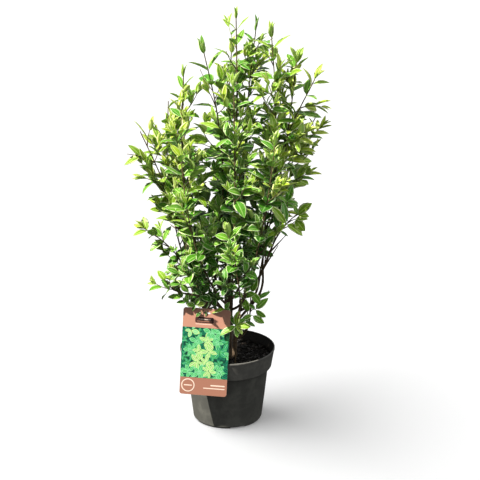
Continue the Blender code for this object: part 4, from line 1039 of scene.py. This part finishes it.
# Shoots whose leaves show one by one in the photograph: the limb that each is on, its place, its tip, and the leaves
# there, by direction, length, share of width and kind.
# Kinds at the lower right are a step lighter than the crown's shade there would leave them, as painted light.
SHOWN = [
    ("bough_low_right", 0.88, (0.047, -0.044, 0.280), [
        (0.23, -0.21, 0.95, 0.031, 0.64, "middle"),
        (0.62, -0.27, -0.74, 0.031, 0.50, "middle"),
    ]),
    ("mass_low_right", 0.62, (0.059, -0.030, 0.262), [
        (0.83, -0.14, 0.53, 0.030, 0.30, "deep"),
    ]),
    ("bough_low_right", 0.72, (0.033, -0.046, 0.269), [
        (0.76, -0.25, 0.60, 0.026, 0.62, "middle"),
        (0.24, -0.20, -0.95, 0.031, 0.52, "middle"),
        (-0.73, -0.18, 0.66, 0.024, 0.50, "deep"),
        (-0.50, 0.19, -0.85, 0.023, 0.50, "middle"),
    ]),
    ("mass_low_right", 0.2, (0.055, -0.044, 0.244), [
        (0.65, -0.18, 0.74, 0.035, 0.40, "middle"),
        (0.75, -0.24, -0.62, 0.027, 0.48, "middle"),
        (-0.71, 0.25, 0.66, 0.017, 0.50, "deep"),
    ]),
    ("bough_low_right", 0.94, (0.049, -0.046, 0.233), [
        (0.82, -0.21, -0.53, 0.030, 0.46, "middle"),
        (-0.93, -0.27, -0.23, 0.023, 0.46, "middle"),
    ]),
    ("bough_low_right", 0.4, (0.034, -0.034, 0.215), [
        (0.94, -0.26, -0.22, 0.024, 0.36, "deep"),
        (0.78, 0.49, 0.39, 0.017, 0.46, "deep"),
    ]),
    ("mass_long_right", 0.5, (0.113, -0.054, 0.421), [
        (-0.55, -0.26, 0.79, 0.048, 0.36, "lime"),
        (0.87, -0.38, -0.31, 0.039, 0.52, "lime"),
        (-0.80, -0.43, -0.42, 0.030, 0.46, "lime"),
        (-0.10, 0.09, 0.99, 0.050, 0.30, "deep"),
    ]),
    ("mass_long_right", 0.66, (0.130, -0.054, 0.431), [
        (0.57, -0.42, -0.70, 0.030, 0.66, "lime"),
        (0.82, -0.48, 0.30, 0.026, 0.50, "lime"),
    ]),
    ("mass_long_right", 0.84, (0.135, -0.052, 0.439), [
        (0.54, -0.35, 0.77, 0.037, 0.56, "lime"),
        (0.83, -0.54, 0.12, 0.023, 0.60, "lime"),
        (-0.36, 0.19, 0.91, 0.023, 0.36, "middle"),
    ]),
    ("mass_long_right", 0.3, (0.100, -0.056, 0.409), [
        (-0.83, -0.44, -0.34, 0.029, 0.56, "lime"),
        (-0.31, 0.19, 0.93, 0.034, 0.34, "deep"),
        (0.88, -0.20, -0.43, 0.021, 0.26, "deep"),
    ]),
    ("mass_long_right", 0.58, (0.115, -0.040, 0.461), [
        (0.98, -0.19, 0.07, 0.022, 0.30, "deep"),
        (0.19, -0.12, 0.97, 0.035, 0.50, "deep"),
        (-0.73, -0.20, 0.65, 0.021, 0.50, "middle"),
        (0.90, 0.18, -0.38, 0.023, 0.28, "deep"),
    ]),
    ("bough_long_right", 0.7, (0.072, -0.046, 0.387), [
        (0.82, -0.32, -0.48, 0.020, 0.44, "lime"),
        (-0.68, -0.19, 0.71, 0.023, 0.56, "middle"),
    ]),
    ("mass_label", 0.22, (-0.085, -0.080, 0.282), [
        (-0.97, -0.14, 0.21, 0.029, 0.44, "middle"),
        (-0.40, -0.23, 0.89, 0.019, 0.56, "deep"),
        (0.79, -0.13, -0.60, 0.017, 0.54, "middle"),
    ]),
    ("mass_label", 0.4, (-0.087, -0.090, 0.313), [
        (-0.93, -0.32, 0.17, 0.026, 0.46, "deep"),
        (0.68, -0.33, 0.65, 0.026, 0.60, "middle"),
        (0.66, -0.30, -0.69, 0.022, 0.56, "middle"),
        (-0.79, 0.27, -0.55, 0.024, 0.46, "shade"),
    ]),
    ("mass_label", 0.52, (-0.091, -0.088, 0.333), [
        (0.87, -0.33, 0.36, 0.026, 0.52, "middle"),
        (-0.82, -0.16, 0.55, 0.026, 0.50, "deep"),
        (-0.87, -0.28, -0.40, 0.023, 0.50, "deep"),
        (0.50, 0.29, 0.82, 0.022, 0.50, "deep"),
    ]),
    ("bough_label", 0.30, (-0.004, -0.080, 0.258), [
        (-1.00, -0.06, -0.10, 0.027, 0.42, "lime"),
        (0.40, -0.30, 0.85, 0.018, 0.50, "deep"),
    ]),
    ("bough_label", 0.66, (-0.060, -0.080, 0.267), [
        (-0.55, -0.06, -0.80, 0.015, 0.50, "deep"),
        (-1.00, -0.06, 0.12, 0.020, 0.56, "middle"),
        (0.90, -0.10, 0.25, 0.020, 0.60, "lime"),
        (0.30, -0.20, 0.80, 0.018, 0.60, "middle"),
    ]),
    ("bough_label", 0.90, (-0.078, -0.080, 0.272), [
        (0.80, -0.10, -0.50, 0.016, 0.60, "middle"),
        (-0.90, -0.20, 0.20, 0.019, 0.54, "deep"),
        (0.10, -0.20, 0.95, 0.018, 0.54, "middle"),
    ]),
]
for name, share, tip in SHOOTS:
    root, axis = along(leaders[name][0] if name in leaders else limbs[name][0], share)
    aside = unit(unit(np.array(tip) - root) + axis * 0.4)
    mass = name.replace("bough", "mass")
    line = bent_line(root, np.array(tip), aside, 13)
    sprays.append({"mass": mass, "order": 1, "line": line, "radius": 0.0013, "stray": True})
for name, share, tip, _ in SHOWN:
    root, axis = along(leaders[name][0] if name in leaders else limbs[name][0], share)
    line = bent_line(root, np.array(tip), unit(unit(np.array(tip) - root) + axis * 0.4), 13)
    sprays.append({"mass": name, "order": 1, "line": line, "radius": 0.0012, "bare": True})
# Two bare cut ends on the long bough to the right.
for share, tip in ((0.62, (0.0990, -0.0330, 0.3720)), (0.96, (0.1150, -0.0380, 0.3960))):
    root, axis = along(limbs["bough_long_right"][0], share)
    cut = bent_line(root, np.array(tip), unit(np.array(tip) - root), 13)
    sprays.append({"mass": "mass_long_right", "order": 1, "line": cut, "radius": 0.0019, "bare": True})
basal = bent_line(BASAL_START, np.array(BASAL_TIP) + [0, 0, BASAL_EXTRA], np.array([0, 0, 1.0]), 13)
basal[0, 2] -= 0.002
sprays.append({"mass": "mass_basal_shoot", "order": 1, "line": basal, "radius": BASAL_RADIUS})

# Spurs: short shoots out of the leaf joints. They crowd the crown's middle and thin out towards its top, where the
# leaders stand free, and at its open skirts.
SPUR_SPACING = 0.028
SPUR_REACH = (0.020, 0.056)
SPUR_CROWD = (0.90, 0.20)
SPUR_HEIGHTS = (0.66, 0.74)
OPEN_MASSES = {"mass_low_left": 0.0, "mass_label": 0.3}
CROWDED_MASSES = ("mass_top_mid", "mass_top_right", "mass_right_leader", "mass_top_centre")
CROWDED_TOP = 0.70
BOUGH_SPURS = 4
BOUGH_SPUR_FLOOR = 0.235
for spray in list(sprays):
    line = spray["line"]
    # Each spray draws from its own seed, so that a change to one leaves the others as they are.
    rng = random.Random(f"{SEED} spurs {line[-1].round(4)}")
    length = np.linalg.norm(np.diff(line, axis=0), axis=1).sum()
    around = rng.uniform(0, math.tau)
    joints = int(length * 0.86 / SPUR_SPACING)
    if spray["mass"] in PLACED or "bare" in spray:
        joints = 0
    for joint in range(joints):
        around += TURN
        root, axis = along(line, min(0.95, ((joint + rng.uniform(0.6, 1.2)) * SPUR_SPACING) / length))
        crowd = np.interp(root[2], SPUR_HEIGHTS, SPUR_CROWD) * OPEN_MASSES.get(spray["mass"], 1.0)
        if spray["mass"] in CROWDED_MASSES:
            crowd = max(crowd, CROWDED_TOP)
        outward = turned_about(across(axis), axis, around)
        angle = math.radians(rng.uniform(36, 62))
        set_out = axis * math.cos(angle) + outward * math.sin(angle)
        reach = rng.uniform(*SPUR_REACH) * (1.0 if spray["order"] == 0 else 0.8)
        if rng.random() > crowd:
            continue
        tip = root + unit(set_out + np.array([0, 0, TWIG_LIFT])) * reach
        fine = bent_line(root, tip, set_out, 5)
        if in_crown(tip) and in_reach(tip) and not shades_label(tip):
            sprays.append({"mass": spray["mass"], "order": 2, "line": fine, "radius": 0.0011})
# Low spurs leave the boughs themselves, so that leaves fill the crown's foot down to the label.
for name in BOUGHS:
    line = limbs[name][0]
    rng = random.Random(f"{SEED} {name} spurs")
    for place in range(BOUGH_SPURS):
        root, axis = along(line, rng.uniform(0.45, 1.0))
        outward = turned_about(across(axis), axis, rng.uniform(0, math.tau))
        tip = root + unit(axis * 0.5 + outward) * rng.uniform(0.020, 0.042)
        if in_crown(tip) and tip[2] > BOUGH_SPUR_FLOOR and not shades_label(tip):
            fine = bent_line(root, tip, unit(axis * 0.7 + outward), 5)
            sprays.append({"mass": "boughs", "order": 2, "line": fine, "radius": 0.0011})

young_bark, tree, shader = finish_of("brown_young_bark", "#5d4a38", Roughness=0.6)
place = node(tree, "ShaderNodeTexCoord").outputs["Object"]
specks = node(tree, "ShaderNodeTexNoise", {"Scale": 380.0, "Detail": 5.0}, {"Vector": place})
mixed_colours(tree, shader, specks.outputs["Fac"], "#4a382a", "#7a6a4c", 0.36, 0.68)
bumped(tree, shader, specks.outputs["Fac"], 0.5, 0.0004)
green_bark, tree, shader = finish_of("olive_green_shoot", "#77803f", Roughness=0.5)
place = node(tree, "ShaderNodeTexCoord").outputs["Object"]
specks = node(tree, "ShaderNodeTexNoise", {"Scale": 520.0, "Detail": 3.0}, {"Vector": place})
bumped(tree, shader, specks.outputs["Fac"], 0.35, 0.0003)


def joint_relief(distance, angle, number):
    """A swollen joint where each pair of leaves stands."""
    return 1 + 0.16 * np.cos(math.pi * distance / JOINT_SPACING + number) ** 20 + 0 * angle


masses = [*MASSES, "mass_basal_shoot"]
main = [s for s in sprays if s["order"] == 0]
points, faces = tubes([s["line"] for s in main], [np.linspace(s["radius"], 0.0008, 25) for s in main], 10, joint_relief)
piece("leaders", points, faces, [young_bark], masses)
side = [s for s in sprays if s["order"] == 1]
points, faces = tubes([s["line"] for s in side], [np.linspace(s["radius"], 0.0006, 13) for s in side], 8, joint_relief)
piece("side_twigs", points, faces, [young_bark], masses)
spurs = [s for s in sprays if s["order"] == 2]
points, faces = tubes([s["line"] for s in spurs], [np.linspace(s["radius"], 0.0005, 5) for s in spurs], 6)
piece("spurs", points, faces, [green_bark], masses)

# The leaves: thin, waxy and folded along the midrib, in opposite pairs, each pair turned a quarter from the last.
# Upper sprays are lime with wide yellow margins, lower ones deep green with thin cream margins, all paler beneath.
LEAF_STATIONS = np.array([0.0, 0.07, 0.20, 0.40, 0.63, 0.84, 1.0])
LEAF_OUTLINE = np.array([0.06, 0.07, 0.66, 1.0, 0.94, 0.57, 0.03])
LEAF_PLUMP = np.array([1.2, 1.0, 1.0, 1.0, 0.9, 0.7, 0.3])
LEAF_HALF_THICKNESS = 0.00022
MIDRIB_SHARE = 0.09
# From the tip down: gap to the pair before, length, width as a share of length, angle to the twig in degrees.
PAIRS = [
    (0.000, 0.019, 0.34, 13),
    (0.007, 0.029, 0.40, 24),
    (0.016, 0.038, 0.47, 38),
    (0.022, 0.043, 0.52, 50),
    (0.027, 0.044, 0.55, 60),
    (0.029, 0.043, 0.57, 66),
]
# Foliage: colour of its middle, of its margin, of its underside and of its midrib, and where the margin starts.
CLASSES = {
    "young": ("#95b02c", "#dbe69c", "#acc268", "#c4d474", 0.70),
    "lime": ("#7aa224", "#d2e39c", "#9cb860", "#b2cc6a", 0.73),
    "middle": ("#5e9424", "#cde3a4", "#8ca85a", "#9cc066", 0.74),
    "deep": ("#4a861e", "#bcd698", "#7c9c56", "#86ae5c", 0.75),
    "shade": ("#326616", "#aecb92", "#64884a", "#6c9650", 0.79),
}
# A leader's first pairs: the topmost leaders end in a closed bud, the others in an open tuft of broader leaves.
BUD_PAIRS = [(0.003, 0.026, 0.26, 6), (0.004, 0.027, 0.36, 8), (0.015, 0.038, 0.34, 44), (0.018, 0.044, 0.40, 50)]
TUFT_PAIRS = [(0.000, 0.024, 0.40, 10), (0.003, 0.033, 0.44, 24), (0.006, 0.038, 0.46, 40), (0.022, 0.044, 0.44, 54)]
BUDS = ("mass_top_centre", "mass_top_mid", "mass_top_right", "mass_top_left", "mass_left_leader")
# Leaves get longer and narrower with height: height, share of the tables' length, and share of their width.
LEAF_HEIGHTS = (0.26, 0.44, 0.60)
LEAF_LONG = (0.60, 0.98, 1.06)
LEAF_WIDE = (1.16, 1.00, 0.74)
# The basal shoot ends in a star of leaves: each one's direction, length and share of width.
STAR = [
    (0.02, -0.20, 1.00, 0.031, 0.50),
    (-0.86, -0.35, -0.32, 0.037, 0.44),
    (0.92, -0.35, 0.14, 0.029, 0.50),
    (0.10, -0.80, -0.60, 0.024, 0.56),
    (0.55, -0.70, -0.35, 0.022, 0.50),
    (0.70, 0.50, 0.50, 0.026, 0.44),
    (-0.45, 0.55, 0.62, 0.024, 0.44),
]
STAR_FACING = np.array([-0.1, -0.75, 0.66])
# Masses in the crown's own shade: steps that their leaves are darker by.
SHADED = {}
# Masses whose leaves differ from the rest: shares of the tables' length and width.
LEAF_SCALES = {"mass_low_left": (0.84, 1.0), "mass_top_left": (1.2, 1.4)}
# The topmost leaders keep all their leaves.
FREE_HEIGHT = 0.68
STRIDES = {0: 1.25, 1: 1.08, 2: 0.90}
SIZES = {0: 1.06, 1: 1.02, 2: 0.95}
BARE = {0: 0.08, 1: 0.10, 2: 0.16}
leaves = {name: [] for name in CLASSES}
kinds = list(CLASSES)
for spray in sprays:
    line, order, mass = spray["line"], spray["order"], spray["mass"]
    if "bare" in spray or mass in PLACED:
        continue
    length = np.linalg.norm(np.diff(line, axis=0), axis=1).sum()
    tip = line[-1]
    rng = random.Random(f"{SEED} leaves {tip.round(4)}")
    longer, wider = LEAF_SCALES.get(mass, (1.0, 1.0))
    outer = min(1.0, math.hypot(tip[0] - 0.01, tip[1]) / 0.19)
    height = (tip[2] - 0.26) / 0.54
    spray_tone = 4.15 - 3.0 * height - 1.1 * outer + SHADED.get(mass, 0.0) + rng.uniform(-1.0, 1.0)
    # Painted light and shade: leaves at the right and left are a step lighter, standing in for light that the crown's
    # own shade keeps off, and those low over the stems and at the very top are a step darker, as painted shade.
    spray_tone -= (0.7 if tip[2] > 0.56 else 1.2) * np.clip((tip[0] - 0.05) / 0.06, 0, 1) * (tip[2] < 0.70)
    spray_tone += 1.4 * (tip[2] < 0.37 and abs(tip[0]) < 0.08) + 0.9 * np.clip((tip[2] - 0.68) / 0.08, 0, 1)
    spray_tone -= 0.9 * np.clip((-0.04 - tip[0]) / 0.05, 0, 1) * (tip[2] > 0.30)
    stride = STRIDES[order] * rng.uniform(0.85, 1.25)
    pairs = PAIRS if order else (BUD_PAIRS if mass in BUDS else TUFT_PAIRS) + PAIRS[4:]
    edge = mass not in STRAYS and "stray" not in spray
    around = rng.uniform(0, math.tau)
    from_tip = 0.0
    pair = 0
    while True:
        gap, size, width, rise = pairs[min(pair, len(pairs) - 1)]
        root, axis = along(line, max(0.0, 1 - from_tip / length))
        long = np.interp(root[2], LEAF_HEIGHTS, LEAF_LONG) * longer
        from_tip += gap * rng.uniform(0.85, 1.2) * stride * long
        share = 1 - from_tip / length
        if share < BARE[order]:
            break
        root, axis = along(line, share)
        around += math.pi / 2 + rng.uniform(-0.25, 0.25)
        scale = SIZES[order] * rng.uniform(0.86, 1.12) * long
        wide = width * np.interp(root[2], LEAF_HEIGHTS, LEAF_WIDE) * wider
        for half_turn in (0, math.pi):
            outward = turned_about(across(axis), axis, around + half_turn)
            angle = math.radians(rise * rng.uniform(0.85, 1.18))
            direction = unit(axis * math.cos(angle) + outward * math.sin(angle))
            fresh = 0.3 if pairs[0] == BUD_PAIRS[0] else 1.1
            tone = spray_tone - (fresh if pair < 2 else 0.4 if pair == 2 else 0.0) + 0.25 * pair + rng.uniform(-0.5, 0.5)
            grade = int(np.clip(round(tone), 0, 4))
            reach = direction * size * scale
            inside = in_crown(root + reach * 0.5, edge) and in_crown(root + reach * 0.85, edge)
            inside = inside or (order == 0 and tip[2] > FREE_HEIGHT)
            if not inside or not in_reach(root + reach) or shades_label(root + reach * 0.6):
                continue
            leaves[kinds[grade]].append(
                (
                    *root,
                    *direction,
                    *(axis * 0.55 + np.array([-0.10, -0.22, 0.72])),
                    size * scale * rng.uniform(0.9, 1.1) * (1.0 - 0.04 * grade),
                    wide * rng.uniform(0.88, 1.14) * (1.0 + 0.05 * grade),
                    rng.uniform(0.2, 0.85) * (0.5 if pair < 2 else 1.0),
                    rng.uniform(0.10, 0.38) + (0.35 if pair < 2 else 0.0),
                    rng.uniform(-0.35, 0.35),
                )
            )
        pair += 1
rng = random.Random(f"{SEED} star")
for number, (*direction, size, width) in enumerate(STAR):
    bend, fold, twist = rng.uniform(0.3, 0.8), rng.uniform(0.12, 0.3), rng.uniform(-0.3, 0.3)
    grade = kinds[3 if number > 4 else 1 + number % 2]
    leaves[grade].append((*basal[-1], *direction, *STAR_FACING, size, width, bend, fold, twist))
for _, _, tip, rows in SHOWN:
    for *direction, size, width, kind in rows:
        leaves[kind].append((*tip, *direction, *STAR_FACING, size, width, 0.55, 0.25, 0.1))


def leaf_points(rows, margin, seed):
    """Leaves as rings of seven points at seven stations, and their places on the leaf.

    A station's distance runs round an arc, so that the blade bends down. Its half width is the outline's, the fold
    lifts both halves from the midrib, the edge waves gently, and the blade twists towards its tip.
    """
    draw = np.random.default_rng(seed)
    rows = np.array(rows)
    count = len(rows)
    root, direction, facing = rows[:, 0:3], unit(rows[:, 3:6]), rows[:, 6:9]
    length, ratio, bend, fold, twist = rows[:, 9:14].T
    facing = facing + draw.normal(0, 0.24, (count, 3))
    normal = unit(facing - (facing * direction).sum(axis=1)[:, None] * direction)
    sideways = np.cross(normal, direction)
    x = LEAF_STATIONS[None, :, None]
    inner = margin + draw.normal(0, 0.06, (count, 1)) + draw.normal(0, 0.05, (count, 7))
    inner = np.clip(inner, 0.3, 0.93)
    one, zero = np.ones((count, 7)), np.zeros((count, 7))
    rib = one * MIDRIB_SHARE
    y = np.stack([one, inner, rib, -rib, -inner, -one, zero], axis=-1)
    shell = np.array([0, 1, 1, 1, 1, 0, -1])
    half = LEAF_OUTLINE[None, :, None] * (length * ratio / 2)[:, None, None]
    arc = bend[:, None, None]
    run = length[:, None, None] * np.sin(arc * x) / arc
    drop = length[:, None, None] * (1 - np.cos(arc * x)) / arc
    wave = 0.10 * np.sin(7.0 * x + draw.uniform(0, math.tau, (count, 1, 1))) * y * np.abs(y) * half
    lift = np.abs(y) * half * fold[:, None, None] + wave + shell * LEAF_HALF_THICKNESS * LEAF_PLUMP[None, :, None]
    turn = twist[:, None, None] * x
    a, b = y * half * np.cos(turn) - lift * np.sin(turn), y * half * np.sin(turn) + lift * np.cos(turn)
    points = (
        root[:, None, None]
        + run[..., None] * direction[:, None, None]
        + a[..., None] * sideways[:, None, None]
        + (b - drop)[..., None] * normal[:, None, None]
    )
    uv = np.stack([np.broadcast_to(x, y.shape), 0.5 + 0.5 * y], axis=-1)
    return points, uv


LEAF_CORNERS = 49
leaf_ladder = np.array([[0, 1, 5, 6], [1, 2, 4, 5]])
leaf_quads = np.vstack([grid_quads(7, 7), leaf_ladder[:, ::-1], leaf_ladder + 42])
leaf_ends = np.array([[4, 3, 2], [44, 45, 46]])
leaf_slots = np.array([1, 0, 3, 0, 1, 2, 2] * 6 + [2] * 4)
total = 0
for number, (kind, (centre, margin, under, rib, width)) in enumerate(CLASSES.items()):
    finishes = []
    for part, colour, gloss in (
        ("centre", centre, 0.36),
        ("margin", margin, 0.38),
        ("underside", under, 0.55),
        ("midrib", rib, 0.42),
    ):
        leaf, tree, shader = finish_of(f"{kind}_leaf_{part}", colour, Roughness=gloss, IOR=1.45, Specular_IOR_Level=0.36)
        shader.inputs["Subsurface Weight"].default_value = 0.22
        shader.inputs["Subsurface Radius"].default_value = (0.6, 1.0, 0.25)
        shader.inputs["Subsurface Scale"].default_value = 0.0015
        surface = node(tree, "ShaderNodeUVMap", {"uv_map": "surface"}).outputs["UV"]
        # Side veins leave the midrib every 4 mm or so and run out and forwards.
        veins = node(
            tree,
            "ShaderNodeTexWave",
            {"bands_direction": "DIAGONAL", "Scale": 2.6, "Distortion": 1.5, "Detail": 2.0},
            {"Vector": surface},
        )
        bumped(tree, shader, veins.outputs["Fac"], 0.22, 0.0005)
        finishes.append(leaf)
    points, uv = leaf_points(leaves[kind], width, 100 + number)
    count = len(points)
    total += count
    step = LEAF_CORNERS * np.arange(count)[:, None, None]
    piece(
        f"leaves_{kind}",
        points,
        ((leaf_quads[None] + step).reshape(-1, 4), (leaf_ends[None] + step).reshape(-1, 3)),
        finishes,
        masses,
        slots=np.concatenate([np.tile(leaf_slots, count), np.full(2 * count, 2)]),
        uv=uv.reshape(-1, 2),
    )
    print(kind, count)
print("leaves", total, "sprays", len(sprays))

# The setting: a plain white floor, and a camera at the photograph's angle. One small sun from the left and front
# lights the plant, as the label's shadow on the pot shows, and a broad soft one throws the floor's faint shadow.
bpy.ops.mesh.primitive_plane_add(size=60.0, location=(0.0, 0.0, 0.0))
floor = bpy.context.object
floor.name = "floor"
paper, tree, shader = finish_of("white_floor", "#f4f4f4", Roughness=0.9)
shader.inputs["Emission Color"].default_value = linear("#ffffff")
shader.inputs["Emission Strength"].default_value = 0.12
floor.data.materials.append(paper)
# The floor throws no light back at the plant, which stood on dull ground and not on white.
floor.visible_diffuse = False
floor.visible_glossy = False

# The sky: bright above, and dim below its horizon, which only the plant and pot see.
world = bpy.data.worlds.new("studio")
bpy.context.scene.world = world
world.use_nodes = True
tree = world.node_tree
way = node(tree, "ShaderNodeTexCoord").outputs["Generated"]
height = node(tree, "ShaderNodeSeparateXYZ", None, {"Vector": way}).outputs["Z"]
sky = node(tree, "ShaderNodeValToRGB", None, {"Fac": height})
sky.color_ramp.elements[0].position = 0.0
sky.color_ramp.elements[0].color = (0.16, 0.16, 0.15, 1.0)
sky.color_ramp.elements[1].position = 0.06
sky.color_ramp.elements[1].color = (1.0, 1.0, 1.0, 1.0)
tree.links.new(sky.outputs["Color"], tree.nodes["Background"].inputs["Color"])
tree.nodes["Background"].inputs["Strength"].default_value = 0.40
bpy.context.scene.view_settings.view_transform = "Standard"


def sun(name, strength, travel, angle, tone="#ffffff"):
    """A sun whose light travels this way, as wide across as this angle in degrees."""
    data = bpy.data.lights.new(name, "SUN")
    data.energy = strength
    data.color = linear(tone)[:3]
    data.angle = math.radians(angle)
    made = bpy.data.objects.new(name, data)
    bpy.context.scene.collection.objects.link(made)
    x, y, z = unit(np.array(travel))
    made.rotation_euler = (math.acos(-z), 0.0, math.atan2(-x, y))
    return made


key = sun("sun", 7.8, SUNLIGHT, 0.8, "#fff8ec")
soft = sun("soft_light", 3.6, (0.72, -0.04, -0.68), 78.0)
# The small sun leaves out the floor, where it would throw a hard shadow that the photograph doesn't have.
apart = bpy.data.collections.new("floor_only")
apart.objects.link(floor)
key.light_linking.receiver_collection = apart
apart.collection_objects[0].light_linking.link_state = "EXCLUDE"
alone = bpy.data.collections.new("floor_alone")
alone.objects.link(floor)
soft.light_linking.receiver_collection = alone
alone.collection_objects[0].light_linking.link_state = "INCLUDE"

# A weak broad light from the right opens up the crown's shaded side, and only that.
fill = sun("crown_fill", 1.3, (-0.75, 0.50, -0.44), 50.0)
crown = bpy.data.collections.new("crown_only")
for kind in CLASSES:
    crown.objects.link(bpy.data.objects[f"leaves_{kind}"])
fill.light_linking.receiver_collection = crown
for row in crown.collection_objects:
    row.light_linking.link_state = "INCLUDE"

camera = bpy.data.cameras.new("photo_view")
camera.sensor_width = 36.0
camera.lens = 36.0 * 1289 / 480
viewer = bpy.data.objects.new("photo_view", camera)
bpy.context.scene.collection.objects.link(viewer)
viewer.location = (0.0252, -2.4, 1.129)
viewer.rotation_euler = (math.radians(72.5), 0.0, 0.0)
bpy.context.scene.camera = viewer
